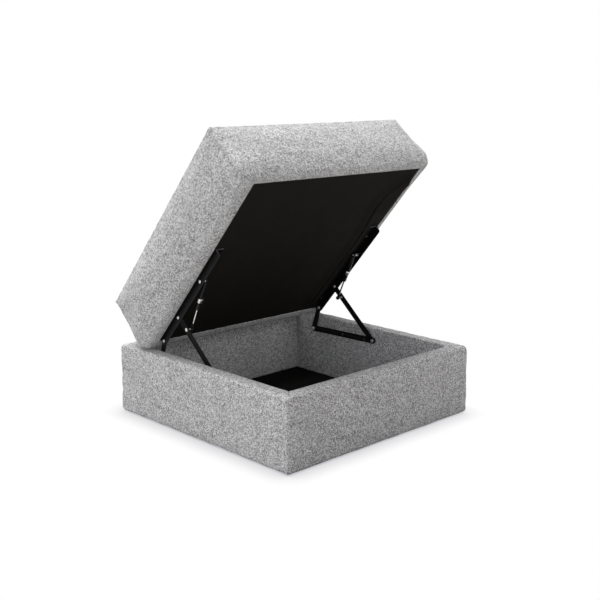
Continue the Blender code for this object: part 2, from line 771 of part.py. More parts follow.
def main():
    for old in list(bpy.data.objects):
        bpy.data.objects.remove(old, do_unlink=True)
    finishes = make_finishes()
    root = add_empty("ottoman", None, (0.0, -rear_overhang() / 2, 0.0))
    lid = add_empty("lid_axis", root, lid_point(C_FROM_REAR, -PIVOT_DROP), -OPEN_ANGLE)
    make_base_cover(finishes["tweed"], root)
    make_wall_panels(finishes["board"], root)
    make_floor(finishes, root)
    make_glides(finishes["plastic"], root)
    drills = add_screw_drills(lid)
    make_lid_cover(finishes["tweed"], lid)
    make_lid_frame(finishes, lid, drills)
    make_lid_sheet(finishes["lining"], lid, drills)
    for side, label in SIDES:
        make_base_bracket(side, label, finishes, root)
        make_rear_link(side, label, finishes, root)
        make_front_link(side, label, finishes, root)
        make_lid_rail(side, label, finishes, lid, drills)
        make_rail_hardware(side, label, finishes, lid)
        make_gas_strut(side, label, finishes, root)


main()
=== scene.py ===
"""Looks of a square ottoman with storage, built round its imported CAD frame.

Metres, +Z up, +X to the object's right, -Y to its front. The lid is open, and the pieces on it are
made in the lid's own frame, which starts at its rear pivot, with +Y to the lid's rear.
"""

import json
import math

import bmesh
import bpy
import numpy as np
from mathutils import Matrix, Vector


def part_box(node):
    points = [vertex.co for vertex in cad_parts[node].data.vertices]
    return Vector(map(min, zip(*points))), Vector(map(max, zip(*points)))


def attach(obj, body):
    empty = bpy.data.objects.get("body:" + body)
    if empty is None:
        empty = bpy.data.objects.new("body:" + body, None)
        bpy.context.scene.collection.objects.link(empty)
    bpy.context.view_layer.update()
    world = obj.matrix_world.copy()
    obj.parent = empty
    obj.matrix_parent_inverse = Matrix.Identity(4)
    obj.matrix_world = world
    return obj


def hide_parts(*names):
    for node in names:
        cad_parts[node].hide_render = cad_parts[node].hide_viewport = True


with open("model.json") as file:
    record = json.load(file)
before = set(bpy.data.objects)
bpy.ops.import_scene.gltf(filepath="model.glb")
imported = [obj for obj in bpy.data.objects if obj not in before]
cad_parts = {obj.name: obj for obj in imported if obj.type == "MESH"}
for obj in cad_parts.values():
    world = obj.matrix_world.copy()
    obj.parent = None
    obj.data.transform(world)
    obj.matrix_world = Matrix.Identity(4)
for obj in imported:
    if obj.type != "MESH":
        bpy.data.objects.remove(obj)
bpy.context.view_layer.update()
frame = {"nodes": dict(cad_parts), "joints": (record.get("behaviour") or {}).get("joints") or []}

# Upholstery
CORNER_RADIUS = 0.008
HEM_RADIUS = 0.0145
RIM_RADIUS = 0.011
INNER_RIM_RADIUS = 0.004
WALL = 0.045
HEM_DROP = 0.0022
LID_TOP_CROWN = 0.009
LID_SIDE_CROWN = 0.005
BOX_CROWN = 0.004
BOX_RIM_FLARE = 0.0022
BOX_HEM_FLARE = 0.0058
BOX_INNER_CROWN = 0.0022
MIN_RADIUS = 0.0005
LID_CORNER_RADIUS = 0.008
LID_TOP_CORNER_RADIUS = 0.006
LID_EDGE_RADIUS = 0.006
LID_ROLL_RADIUS = 0.020
LID_SIDE_ROLL_RADIUS = 0.036
LID_SKIRT = 0.0075
LID_BOW = 0.013
TURN_UNDER = (0.0413, 0.0216, 0.0413)
LIP_HEIGHT = 0.002
CORNER_REACH = 0.14
SKIRT_LEVEL = 0.042
SKIRT_FADE = 0.17

# Seams: a groove between two small ridges, with puckers across it
SEAM_GROOVE = 0.0018
SEAM_WIDTH = 0.0017
RIDGE = 0.0006
RIDGE_PLACE = 0.0055
RIDGE_WIDTH = 0.003
PUCKER = 0.0005
PUCKER_PITCH = 0.026
PUCKER_REACH = 0.012

# Panel grids
FINE = (0.0, 0.0012, 0.0028, 0.005, 0.008, 0.012, 0.017, 0.024)
STEP = 0.012
UNDER_LINES = (0.0, 0.06, 0.13, 0.21, 0.30, 0.40, 0.52, 0.66, 0.82, 0.93, 1.0, 2.0)
SAME = 1e-5

# Sheets and yarn
SHEET_STEP = 0.006
FINE_SHEET_STEP = 0.0025
SHEET_THICKNESS = 0.0006
YARN = 0.0026
YARN_RUN = 2.0
YARN_DRIFT = 0.0022

# The lid's lining: its cloth beyond the CAD sheet, and its crease
LINING_MARGIN = 0.003
FOLD_REACH = 0.074
FOLD_ARCH = 0.025
FOLD_ARCH_PLACE = 0.17
FOLD_DEPTH = 0.014
TUCK_DEPTH = 0.0075
TUCK_WIDTH = 0.006
FOLD_STRIP = 0.12
HELD_EDGE = 0.009

# Cloth simulation
CLOTH_FRAMES = 20
CLOTH_PRESSURE = 4.0

# Stitches
STITCH_PITCH = 0.0055
STITCH_LENGTH = 0.0036
STITCH_RADIUS = 0.0005

# Lift brackets
LINK_RADIUS = 0.0105
SHORT_LINK_RADIUS = 0.0102
BAR_RADIUS = 0.0105
PLATE = 0.0025
GAP = 0.0003
RIVET_HEAD = 0.0025
RIVET_HEAD_RADIUS = 0.007
RIVET_RADIUS = 0.004
NUT_RADIUS = 0.006
STUD_RADIUS = 0.003
STUD_HEAD = 0.00022
COLLAR_RADIUS = 0.005
COLLAR_WIDTH = 0.003
BAR_SCREW_PLACES = (0.50, 0.86)
SIDES = ((-1, "left"), (1, "right"))

# Camera and light
CAMERA_TARGET = (0.0134, -0.0307, 0.3897)
CAMERA_DISTANCE = 3.355
CAMERA_AZIMUTH = -43.9
CAMERA_ELEVATION = 12.32
CAMERA_LENS = 60.54

# Soft lights round the studio: the direction to each one, its sharpness, its strength and its tint
SOFT_LIGHTS = (
    ((0.0, 0.0, 1.0), 12.0, 0.35, (1.0, 1.0, 1.0)),
    ((-0.97, 0.0, 0.25), 12.0, 3.0, (0.985, 0.98, 1.01)),
    ((0.0, -0.97, 0.25), 12.0, 2.1, (1.01, 0.99, 0.99)),
    ((0.0, 0.45, 0.89), 60.0, 28.0, (1.0, 1.0, 0.985)),
    ((0.4, 0.55, 0.73), 60.0, 3.0, (1.0, 1.0, 1.0)),
)
FILL_STRENGTH = 0.01
FLOOR_REACH = 12.0
FLOOR_BOUNCE = (0.395, 0.385, 0.378)
# The floor's painted shadow: how far it reaches and its darkest colour
PAINTED_SHADOW_REACH = 0.075
PAINTED_SHADOW_DEEPEST = (0.47, 0.455, 0.49)

LID_ANGLE = math.radians(49.07)
JOINTS = {joint["name"]: joint for joint in frame["joints"]}


def pivot(name):
    place = JOINTS[name]["pos_m"]
    return Vector((0.0, place[1], place[2]))


def box_centre(node):
    low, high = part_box(node)
    return (low + high) / 2


PIVOT_A = pivot("right_rear_link_hinge")
PIVOT_B = pivot("right_front_link_hinge")
PIVOT_C = pivot("lid_hinge")
PIVOT_D = box_centre("front_link_rivet_right") * Vector((0.0, 1.0, 1.0))
PIVOT_E = pivot("right_strut_swing")
PIVOT_F = box_centre("strut_lower_stud_right") * Vector((0.0, 1.0, 1.0))
LID_FRAME = Matrix.Translation(PIVOT_C) @ Matrix.Rotation(-LID_ANGLE, 4, "X")
IN_PLACE = Matrix.Identity(4)


# Meshes


def read_rows(items, field):
    """A vector property of every item, one row for each."""
    values = np.empty(len(items) * 3, np.float32)
    items.foreach_get(field, values)
    return values.reshape(-1, 3).astype(float)


def points_of(mesh):
    return read_rows(mesh.vertices, "co")


def put_points(mesh, points):
    mesh.vertices.foreach_set("co", points.astype(np.float32).ravel())
    mesh.update()


def box_in(node, placed):
    """Lowest and highest corner of a CAD node in another frame."""
    inverse = np.array(placed.inverted())
    points = points_of(frame["nodes"][node].data) @ inverse[:3, :3].T + inverse[:3, 3]
    return points.min(0), points.max(0)


def show(name, mesh, finish, body, stands_for=(), placed=IN_PLACE):
    """Adds a piece that rides on a body and takes the place of CAD nodes."""
    piece = bpy.data.objects.new(name, mesh)
    bpy.context.scene.collection.objects.link(piece)
    piece.matrix_world = placed
    mesh.materials.clear()
    mesh.materials.append(FINISHES[finish])
    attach(piece, body)
    if stands_for:
        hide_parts(*stands_for)
    return piece


def bake_modifiers(piece):
    """Puts what the modifiers make into the piece's own mesh."""
    graph = bpy.context.evaluated_depsgraph_get()
    shaped = piece.evaluated_get(graph)
    mesh = bpy.data.meshes.new_from_object(shaped, preserve_all_data_layers=True, depsgraph=graph)
    piece.modifiers.clear()
    piece.data = mesh
    mesh.name = piece.name


def smooth_shaded(mesh, angle=38.0):
    mesh.shade_smooth()
    mesh.set_sharp_from_angle(angle=math.radians(angle))
    return mesh


def waves(points, wavelength, seed, count=12):
    """Smooth seeded noise with a spread of 1: plane waves in many directions."""
    chance = np.random.default_rng(seed)
    total = np.zeros(len(points))
    for _ in range(count):
        heading = chance.normal(size=3)
        heading /= np.linalg.norm(heading)
        length = wavelength * chance.uniform(0.7, 1.5)
        total += np.sin(2 * math.pi * (points @ heading) / length + chance.uniform(0, 2 * math.pi))
    return total / math.sqrt(count / 2)


def eased(value):
    value = np.clip(value, 0.0, 1.0)
    return value * value * (3 - 2 * value)


# Upholstery panels. A panel is a grid of points on the box with sharp edges, and of cloth coordinates


def lines(length):
    """Grid lines along a panel, close together near both ends, where the seams are."""
    count = max(1, round((length - 2 * FINE[-1]) / STEP))
    middle = np.linspace(FINE[-1], length - FINE[-1], count + 1)
    start = np.array(FINE[:-1])
    return np.concatenate([start, middle, length - start[::-1]])


def quads_of(rows, columns):
    """The corners of every face in a grid of points."""
    index = np.arange(rows * columns).reshape(rows, columns)
    quads = np.stack([index[:-1, :-1], index[1:, :-1], index[1:, 1:], index[:-1, 1:]], axis=-1)
    return quads.reshape(-1, 4)


def insets(flat, middle, half):
    """How far each point is inside the outline, across X and across Y."""
    inside = half[:2] - np.abs(flat[:, :2] - middle[:2])
    return inside[:, 0], inside[:, 1]


def rounded(points, low, high, margin):
    """The points of a box, with those in its margin moved onto an ellipse round its core."""
    core = np.clip(points, low + margin, high - margin)
    reach = (points - core) / margin
    reach /= np.maximum(1.0, np.linalg.norm(reach, axis=1))[:, None]
    return core + margin * reach


def sew(name, panels, shape):
    """One mesh from all the panels, joined where their points meet."""
    flat = np.concatenate([place.reshape(-1, 3) for place, _ in panels])
    cloth = np.concatenate([cut.reshape(-1, 2) for _, cut in panels])
    keys = np.round(flat * 1e5).astype(int)
    _, first, shared = np.unique(keys, axis=0, return_index=True, return_inverse=True)
    corners = []
    start = 0
    for place, _ in panels:
        rows, columns = place.shape[:2]
        corners.append(quads_of(rows, columns) + start)
        start += rows * columns
    corners = np.concatenate(corners)
    mesh = bpy.data.meshes.new(name)
    mesh.from_pydata(shape(flat[first]).tolist(), [], shared.ravel()[corners].tolist())
    layer = mesh.uv_layers.new(name="cloth")
    layer.data.foreach_set("uv", cloth[corners.ravel()].astype(np.float32).ravel())
    unrounded = mesh.attributes.new("flat", "FLOAT_VECTOR", "POINT")
    unrounded.data.foreach_set("vector", flat[first].astype(np.float32).ravel())
    mesh.shade_smooth()
    return mesh


def flat_of(mesh):
    """Where each point was on the box with sharp edges."""
    return read_rows(mesh.attributes["flat"].data, "vector")


def inflate(piece, held, swell, part):
    """Blows the cloth up between its held points by simulation, then scales the move in each part of it
    so that its fullest points move by their swell."""
    scene = bpy.context.scene
    rest = points_of(piece.data)
    group = piece.vertex_groups.new(name="held")
    group.add([int(index) for index in np.flatnonzero(held)], 1.0, "REPLACE")
    modifier = piece.modifiers.new("cloth", "CLOTH")
    modifier.settings.vertex_group_mass = "held"
    modifier.settings.quality = 4
    modifier.settings.use_pressure = True
    modifier.settings.uniform_pressure_force = CLOTH_PRESSURE
    modifier.settings.effector_weights.gravity = 0.0
    modifier.point_cache.frame_end = CLOTH_FRAMES
    for step in range(1, CLOTH_FRAMES + 1):
        scene.frame_set(step)
    graph = bpy.context.evaluated_depsgraph_get()
    swollen = points_of(piece.evaluated_get(graph).to_mesh())
    piece.modifiers.remove(modifier)
    piece.vertex_groups.clear()
    scene.frame_set(1)
    moved = swollen - rest
    length = np.linalg.norm(moved, axis=1) + 1e-9
    share = np.zeros(len(rest))
    for label in np.unique(part):
        chosen = part == label
        fullest = np.percentile(length[chosen], 97)
        share[chosen] = (swell * np.minimum(length / fullest, 1.1) / length)[chosen]
    put_points(piece.data, rest + moved * share[:, None])


def refine(piece):
    modifier = piece.modifiers.new("refine", "SUBSURF")
    modifier.levels = 1
    modifier.render_levels = 1
    bake_modifiers(piece)


def raise_surface(piece, height, low, high=math.inf):
    """Moves each point of the piece along its normal, and keeps it between two levels."""
    points = points_of(piece.data)
    points += read_rows(piece.data.vertex_normals, "vector") * height[:, None]
    points = points.astype(np.float32).astype(float)
    points[:, 2] = np.clip(points[:, 2], low, high)
    put_points(piece.data, points)
    piece.data.shade_smooth()


def seam_relief(distance, flat, seed):
    """Height beside a seam: a groove, the small ridge of the seam allowance and puckers across it."""
    groove = -SEAM_GROOVE * np.exp(-((distance / SEAM_WIDTH) ** 2))
    ridge = RIDGE * np.exp(-(((distance - RIDGE_PLACE) / RIDGE_WIDTH) ** 2))
    puckers = PUCKER * waves(flat, PUCKER_PITCH, seed) * np.exp(-distance / PUCKER_REACH)
    return groove + ridge + puckers


# Lid upholstery


LID_LOW, LID_HIGH = box_in("lid_cover", LID_FRAME)
LID_MIDDLE = (LID_LOW + LID_HIGH) / 2
LID_HALF = (LID_HIGH - LID_LOW) / 2


def lid_shape(flat):
    """The lid's sharp-edged box with its edges rounded, more so round the bottom, where the cloth is
    pulled tight at the middle of each side and stands out at the corners."""
    height = flat[:, 2] - LID_LOW[2]
    across, along = insets(flat, LID_MIDDLE, LID_HALF)
    roll = LID_ROLL_RADIUS + (LID_SIDE_ROLL_RADIUS - LID_ROLL_RADIUS) * eased(along / CORNER_REACH)
    upright = np.where(height > LID_HALF[2], LID_EDGE_RADIUS, roll)
    near_bottom = eased(1 - height / 0.06)
    narrowing = LID_CORNER_RADIUS - LID_TOP_CORNER_RADIUS
    corner = LID_CORNER_RADIUS - narrowing * eased((height - 0.10) / 0.10)
    side = corner + (roll - corner) * near_bottom
    front = corner + (LID_ROLL_RADIUS - corner) * near_bottom
    place = rounded(flat, LID_LOW, LID_HIGH, np.stack([side, front, upright], axis=1))
    level = place[:, 2] - LID_LOW[2]
    skirt = LID_SKIRT * eased(level / SKIRT_LEVEL)
    skirt *= np.clip(1 - (level - SKIRT_LEVEL) / SKIRT_FADE, 0.0, 1.0) ** 2
    from_corner = np.maximum(across, along)
    skirt *= 1 - 0.6 * eased(from_corner / 0.16)
    share = np.clip(level / (2 * LID_HALF[2]), 0.0, 1.0)
    bow = LID_BOW * 4 * share * (1 - share) * eased(from_corner / CORNER_REACH)
    place[:, :2] += (place[:, :2] - LID_MIDDLE[:2]) / LID_HALF[:2] * (skirt + bow)[:, None]
    return place


def grid(u, v, place):
    """A panel from its two sets of lines and the function that places them."""
    across, along = np.meshgrid(u, v, indexing="ij")
    return place(across, along), np.stack([across, along], axis=-1)


def ring_sides(half):
    """Each side of a rectangle from above: its direction, its outward direction and its half length."""
    for k, (x, y) in enumerate(((1.0, 0.0), (0.0, 1.0), (-1.0, 0.0), (0.0, -1.0))):
        yield np.array((x, y)), np.array((y, -x)), half[k % 2], half[1 - k % 2]


def lid_panels():
    """The top, the four sides, and the four strips that turn under to the lining."""
    size = LID_HIGH - LID_LOW
    side_inset, front_inset, rear_inset = TURN_UNDER
    inner_low = LID_LOW[:2] + (side_inset, front_inset)
    inner_high = LID_HIGH[:2] - (side_inset, rear_inset)
    inner_middle, inner_half = (inner_low + inner_high) / 2, (inner_high - inner_low) / 2

    def top_point(u, v):
        return np.stack([LID_LOW[0] + u, LID_LOW[1] + v, np.full(u.shape, LID_HIGH[2])], -1)

    panels = [grid(lines(size[0]), lines(size[1]), top_point)]
    for heading, outward, half, reach in ring_sides(LID_HALF):

        def rim_point(u, height):
            edge = LID_MIDDLE[:2] + (u - half)[..., None] * heading + reach * outward
            return np.concatenate([edge, (LID_LOW[2] + height)[..., None]], -1)

        def under_point(u, share):
            outer = rim_point(u, share)[..., :2]
            inner = inner_middle + (outer - LID_MIDDLE[:2]) * inner_half / LID_HALF[:2]
            edge = outer + (inner - outer) * np.minimum(share, 1.0)[..., None]
            lift = LIP_HEIGHT * np.maximum(share - 1.0, 0.0)
            return np.concatenate([edge, (LID_LOW[2] + lift)[..., None]], -1)

        u = lines(2 * half)
        panels.append(grid(u, lines(size[2]), rim_point))
        place, cloth = grid(u, np.array(UNDER_LINES[::-1]), under_point)
        cloth[..., 1] = -np.linalg.norm(place[..., :2] - place[:, -1:, :2], axis=-1)
        panels.append((place, cloth))
    return panels


def lid_places(piece):
    """Each point's place on the sharp-edged lid, its insets, its drop from the top and its height."""
    flat = flat_of(piece.data)
    across, along = insets(flat, LID_MIDDLE, LID_HALF)
    return flat, across, along, LID_HIGH[2] - flat[:, 2], flat[:, 2] - LID_LOW[2]


def make_lid_upholstery():
    mesh = sew("lid_upholstery", lid_panels(), lid_shape)
    piece = show("lid_upholstery", mesh, "tweed", "lid", ["lid_cover"], LID_FRAME)
    flat, across, along, drop, height = lid_places(piece)
    on_top = drop < SAME
    on_edge = np.minimum(across, along) + drop < 0.0005
    on_corner = (np.maximum(across, along) < 0.0005) & ~on_top
    held = (height < 0.012) | on_edge | on_corner
    inflate(piece, held, np.where(on_top, LID_TOP_CROWN, LID_SIDE_CROWN), on_top)
    refine(piece)
    flat, across, along, drop, height = lid_places(piece)
    edge = np.minimum(across, along)
    top = eased(1 - drop / 0.001)
    relief = seam_relief(edge + drop, flat, 3)
    relief += 0.8 * seam_relief(np.abs(across - along) + edge * top * 5, flat, 4)
    open_part = eased((edge + drop) / 0.03) * eased(height / 0.03)
    relief += open_part * (0.0009 * waves(flat, 0.16, 5) + 0.0003 * waves(flat, 0.05, 6))
    raise_surface(piece, relief, LID_LOW[2])
    return piece


# Box upholstery


BOX_LOW, BOX_HIGH = (np.array(corner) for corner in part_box("base_cover"))
BOX_MIDDLE = (BOX_LOW + BOX_HIGH) / 2
BOX_HALF = (BOX_HIGH - BOX_LOW) / 2
LINING_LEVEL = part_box("base_floor_lining")[0].z


def box_shape(flat):
    """The box's sharp-cornered ring with its upright corners rounded and its walls flared to the hem."""
    across, along = insets(flat, BOX_MIDDLE, BOX_HALF)
    inset = np.minimum(across, along)
    radius = np.maximum(CORNER_RADIUS - inset, MIN_RADIUS)[:, None]
    ring = BOX_HALF[:2] - inset[:, None]
    place = rounded(flat[:, :2] - BOX_MIDDLE[:2], -ring, ring, radius)
    outer = eased((WALL - inset) / WALL)
    share = outer * (BOX_HIGH[2] - flat[:, 2]) / (BOX_HIGH[2] - BOX_LOW[2])
    flare = BOX_RIM_FLARE * outer + (BOX_HEM_FLARE - BOX_RIM_FLARE) * share
    spread = 1 + flare[:, None] / BOX_HALF[:2]
    return np.column_stack([BOX_MIDDLE[:2] + place * spread, flat[:, 2]])


def arc(centre, radius, first, last, steps):
    """(inset, height) points of an arc, its angles in degrees from outwards towards up."""
    turns = np.radians(np.linspace(first, last, steps + 1))
    return [(centre[0] - radius * math.cos(t), centre[1] + radius * math.sin(t)) for t in turns]


def box_section():
    """(inset, height) points of the wall's cover, from its hem over the rim to the floor inside."""
    bottom, top = BOX_LOW[2] - HEM_DROP, BOX_HIGH[2]
    hem_top, outer_top, inner_top = bottom + HEM_RADIUS, top - RIM_RADIUS, top - INNER_RIM_RADIUS
    floor = LINING_LEVEL + GAP
    outside = np.linspace(hem_top, outer_top, round((outer_top - hem_top) / STEP) + 1)
    inside = np.linspace(inner_top, floor, round((inner_top - floor) / STEP) + 1)
    return np.array([
        (0.0150, bottom),
        *arc((HEM_RADIUS, hem_top), HEM_RADIUS, -90, 0, 6),
        *[(0.0, height) for height in outside[1:-1]],
        *arc((RIM_RADIUS, outer_top), RIM_RADIUS, 0, 90, 6),
        *[(inset, top) for inset in (0.021, 0.028, 0.035)],
        *arc((WALL - INNER_RIM_RADIUS, inner_top), INNER_RIM_RADIUS, 90, 180, 4),
        *[(WALL, height) for height in inside[1:]],
        (WALL - 0.0025, floor),
    ])


def box_panels():
    """The cover of each wall, mitred at the corners."""
    section = box_section()
    inset, height = section.T
    run = np.concatenate([[0.0], np.cumsum(np.linalg.norm(np.diff(section, axis=0), axis=1))])
    panels = []
    for heading, outward, half, reach in ring_sides(BOX_HALF):
        share = lines(2 * half) / half - 1
        along = share[:, None] * (half - inset)[None, :]
        edge = BOX_MIDDLE[:2] + along[..., None] * heading + ((reach - inset)[:, None] * outward)[None]
        level = np.broadcast_to(height, along.shape)[..., None]
        cloth = np.stack([along + half, np.broadcast_to(run, along.shape)], axis=-1)
        panels.append((np.concatenate([edge, level], axis=-1), cloth))
    return panels


def box_places(piece):
    """Each point's place on the sharp-edged box, its inset, its distance from a corner seam, its height."""
    flat = flat_of(piece.data)
    across, along = insets(flat, BOX_MIDDLE, BOX_HALF)
    return flat, np.minimum(across, along), np.abs(across - along), flat[:, 2]


def make_box_upholstery():
    mesh = sew("box_upholstery", box_panels(), box_shape)
    piece = show("box_upholstery", mesh, "tweed", "base", ["base_cover"])
    top = BOX_HIGH[2]
    flat, inset, corner, height = box_places(piece)
    on_rim = (height > top - 0.001) & (inset > 0.03)
    held = (height < BOX_LOW[2] + 0.012) | (corner < 0.0005) | on_rim
    inner = inset > WALL - 0.001
    free = BOX_INNER_CROWN * eased((0.19 - height) / 0.06)
    swell = np.where(inner, free, BOX_CROWN * eased((top - 0.004 - height) / 0.02))
    inflate(piece, held, swell, inner)
    refine(piece)
    flat, inset, corner, height = box_places(piece)
    outside = eased((WALL - 0.003 - inset) / 0.002)
    relief = seam_relief(corner, flat, 13) * (0.35 + 0.65 * outside)
    wall = eased((top - 0.002 - height) / 0.02) * eased((height - BOX_LOW[2]) / 0.03)
    calm = 0.3 + 0.7 * outside
    relief += calm * wall * (0.0008 * waves(flat, 0.15, 15) + 0.0003 * waves(flat, 0.045, 16))
    relief += 0.0004 * waves(flat, 0.07, 17) * (1 - wall) * outside
    raise_surface(piece, relief, BOX_LOW[2] - HEM_DROP, top)
    return piece


# Stitches


def seam_path(piece, chosen, order, closed=False):
    """Points and normals of the mesh's own seam line, in order."""
    index = np.flatnonzero(chosen)
    index = index[np.argsort(order[index])]
    if closed:
        index = np.append(index, index[0])
    return points_of(piece.data)[index], read_rows(piece.data.vertex_normals, "vector")[index]


def stitch_mesh(name, paths):
    """Small rounded stitches, one after the other, along every path."""
    rings = ((-0.5, 0.0), (-0.42, 0.75), (0.0, 1.0), (0.42, 0.75), (0.5, 0.0))
    sides = 6
    turn = np.linspace(0, 2 * math.pi, sides, endpoint=False)
    vertices, faces = [], []
    for points, normals in paths:
        run = np.concatenate([[0.0], np.cumsum(np.linalg.norm(np.diff(points, axis=0), axis=1))])
        for middle in np.arange(STITCH_PITCH, run[-1] - STITCH_PITCH / 2, STITCH_PITCH):
            ends = [[np.interp(middle + s, run, points[:, k]) for k in range(3)] for s in (-1e-3, 1e-3)]
            along = np.subtract(ends[1], ends[0])
            along /= np.linalg.norm(along)
            up = np.array([np.interp(middle, run, normals[:, k]) for k in range(3)])
            up -= along * (up @ along)
            up /= np.linalg.norm(up)
            across = np.cross(along, up)
            centre = np.mean(ends, axis=0) + up * STITCH_RADIUS * 0.7
            first = len(vertices)
            last = first + (len(rings) - 1) * sides
            for reach, width in rings:
                lift = STITCH_RADIUS * max(width, 0.02)
                for t in turn:
                    side = across * math.cos(t) + up * math.sin(t)
                    vertices.append(centre + along * reach * STITCH_LENGTH + side * lift)
            for ring in range(first, last, sides):
                for k in range(sides):
                    a, b = ring + k, ring + (k + 1) % sides
                    faces.append((a, b, b + sides, a + sides))
            faces.append(tuple(range(first + sides - 1, first - 1, -1)))
            faces.append(tuple(range(last, last + sides)))
    mesh = bpy.data.meshes.new(name)
    mesh.from_pydata([tuple(v) for v in vertices], [], faces)
    mesh.shade_smooth()
    return mesh


def corners_of(middle, flat):
    """Which of the four upright corners each point is nearest."""
    beside = flat[:, :2] > middle[:2]
    return beside[:, 0] * 2 + beside[:, 1]


def make_box_stitches(piece):
    flat, inset, corner_distance, height = box_places(piece)
    on_seam = (corner_distance < SAME) & (height > BOX_LOW[2] + 0.003)
    order = np.where(inset < 0.03, height + inset, 2 * BOX_HIGH[2] + inset - height)
    corner = corners_of(BOX_MIDDLE, flat)
    paths = [seam_path(piece, on_seam & (corner == k), order) for k in range(4)]
    show("box_corner_stitches", stitch_mesh("box_corner_stitches", paths), "thread", "base")


def make_lid_stitches(piece):
    flat, across, along, drop, _ = lid_places(piece)
    upright = (np.maximum(across, along) < SAME) & (drop > 0.002)
    corner = corners_of(LID_MIDDLE, flat)
    paths = [seam_path(piece, upright & (corner == k), flat[:, 2]) for k in range(4)]
    edge = np.minimum(across, along) + drop < SAME
    round_the_lid = np.arctan2(*(flat[:, 1::-1] - LID_MIDDLE[1::-1]).T)
    paths.append(seam_path(piece, edge, round_the_lid, closed=True))
    show("lid_stitches", stitch_mesh("lid_stitches", paths), "thread", "lid", placed=LID_FRAME)


# Sheets of black cloth


def sheet_piece(name, node, outline, height, finish, body, placed=IN_PLACE, strip=0.0):
    """A thin sheet over a rectangle, its height given by a function of X and Y. Its grid is finer along
    a strip at its right edge."""
    low, high = outline
    x = np.linspace(low[0], high[0] - strip, round((high[0] - strip - low[0]) / SHEET_STEP) + 1)
    if strip:
        x = np.append(x, np.linspace(x[-1], high[0], round(strip / FINE_SHEET_STEP) + 1)[1:])
    y = np.linspace(low[1], high[1], round((high[1] - low[1]) / SHEET_STEP) + 1)
    across, along = np.meshgrid(x, y, indexing="ij")
    points = np.stack([across, along, height(across, along)], axis=-1)
    mesh = bpy.data.meshes.new(name)
    mesh.from_pydata(points.reshape(-1, 3).tolist(), [], quads_of(len(x), len(y)).tolist())
    mesh.shade_smooth()
    piece = show(name, mesh, finish, body, [node], placed)
    modifier = piece.modifiers.new("thickness", "SOLIDIFY")
    modifier.thickness = SHEET_THICKNESS
    modifier.offset = 0.0
    bake_modifiers(piece)
    return piece


def sheet_waves(x, y, wavelength, seed, stretch=1.0):
    """The same noise over a sheet, drawn out along Y when stretch is below 1."""
    places = np.stack([x.ravel(), y.ravel() * stretch, np.zeros(x.size)], axis=1)
    return waves(places, wavelength, seed).reshape(x.shape)


def loose_fold(x, y, low, high):
    """How far the lid's lining hangs down beside one tucked crease. The crease arches in from the right
    front corner and runs on to the rear, and the cloth between it and the edge is slack in front."""
    run = y - low[1]
    arch = FOLD_ARCH * np.exp(-(((run - FOLD_ARCH_PLACE) / 0.09) ** 2))
    reach = np.maximum(FOLD_REACH * eased(run / 0.11) + arch, 0.001)
    beside = x - (high[0] - reach)
    slack = np.sin(math.pi * np.clip(beside / reach, 0.0, 1.0) ** 1.5)
    slack *= FOLD_DEPTH * eased(1 - (run - FOLD_ARCH_PLACE) / 0.12)
    past_lip = np.abs(beside) - TUCK_WIDTH
    tuck = np.exp(-((past_lip / np.where(past_lip < 0, 0.7, 4.0) / TUCK_WIDTH) ** 2))
    ends = eased((run - HELD_EDGE) / 0.06) * eased((high[1] - y - HELD_EDGE) / 0.06)
    return ends * eased((high[0] - x - HELD_EDGE) / 0.014) * (slack + TUCK_DEPTH * tuck)


def make_lid_dust_cover():
    low, high = box_in("lid_dust_cover", LID_FRAME)
    level = (low[2] + high[2]) / 2
    low, high = low[:2] - LINING_MARGIN, high[:2] + LINING_MARGIN
    left, right = (box_in(f"lid_{label}_rail", LID_FRAME) for _, label in SIDES)
    centre = box_in("lid_centre_rail", LID_FRAME)
    bays = ((left[1][0], centre[0][0]), (centre[1][0], right[0][0]))
    front, rear = centre[0][1], centre[1][1]

    def height(x, y):
        sag = np.zeros(x.shape)
        v = np.clip(2 * (y - front) / (rear - front) - 1, -1, 1)
        for first, last in bays:
            u = np.clip(2 * (x - first) / (last - first) - 1, -1, 1)
            sag += (1 - np.abs(u) ** 5) * (1 - np.abs(v) ** 5)
        crease = sheet_waves(x, y, 0.06, 31, 0.3)
        pull = sheet_waves(x, y, 0.022, 32)
        ripple = sag * (0.00022 * crease + 0.00006 * pull)
        return level - 0.0016 * sag - ripple - loose_fold(x, y, low, high)

    sheet_piece(
        "lid_underside_cloth", "lid_dust_cover", (low, high), height, "lining", "lid",
        LID_FRAME, FOLD_STRIP,
    )


def make_floor_lining():
    low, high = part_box("base_floor_lining")

    def height(x, y):
        slack = 1 + np.tanh(sheet_waves(x, y, 0.12, 33))
        return low.z + 0.0004 + 0.0004 * slack

    sheet_piece(
        "floor_lining_cloth", "base_floor_lining", (low, high), height, "floor", "base",
    )


def make_base_dust_cover():
    low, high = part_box("base_dust_cover")
    middle, half = (low + high) / 2, (high - low) / 2

    def height(x, y):
        u, v = (x - middle.x) / half.x, (y - middle.y) / half.y
        sag = (1 - np.abs(u) ** 8) * (1 - np.abs(v) ** 8)
        return middle.z - sag * (0.0007 + 0.0002 * sheet_waves(x, y, 0.05, 34))

    sheet_piece(
        "box_underside_cloth", "base_dust_cover", (low, high), height, "lining", "base",
    )


# Hardware. Shapes are made for the right-hand side and mirrored for the left


def mesh_from(solid, name="piece"):
    bmesh.ops.recalc_face_normals(solid, faces=solid.faces)
    mesh = bpy.data.meshes.new(name)
    solid.to_mesh(mesh)
    solid.free()
    return smooth_shaded(mesh)


def shifted(profile, start):
    """A profile moved along its axis."""
    return [(start + along, radius) for along, radius in profile]


def skin(solid, rings):
    """Faces between rings of points, each joined to the next."""
    count = len(rings[0])
    for ring, following in zip(rings, rings[1:]):
        for k in range(count):
            n = (k + 1) % count
            solid.faces.new((ring[k], ring[n], following[n], following[k]))


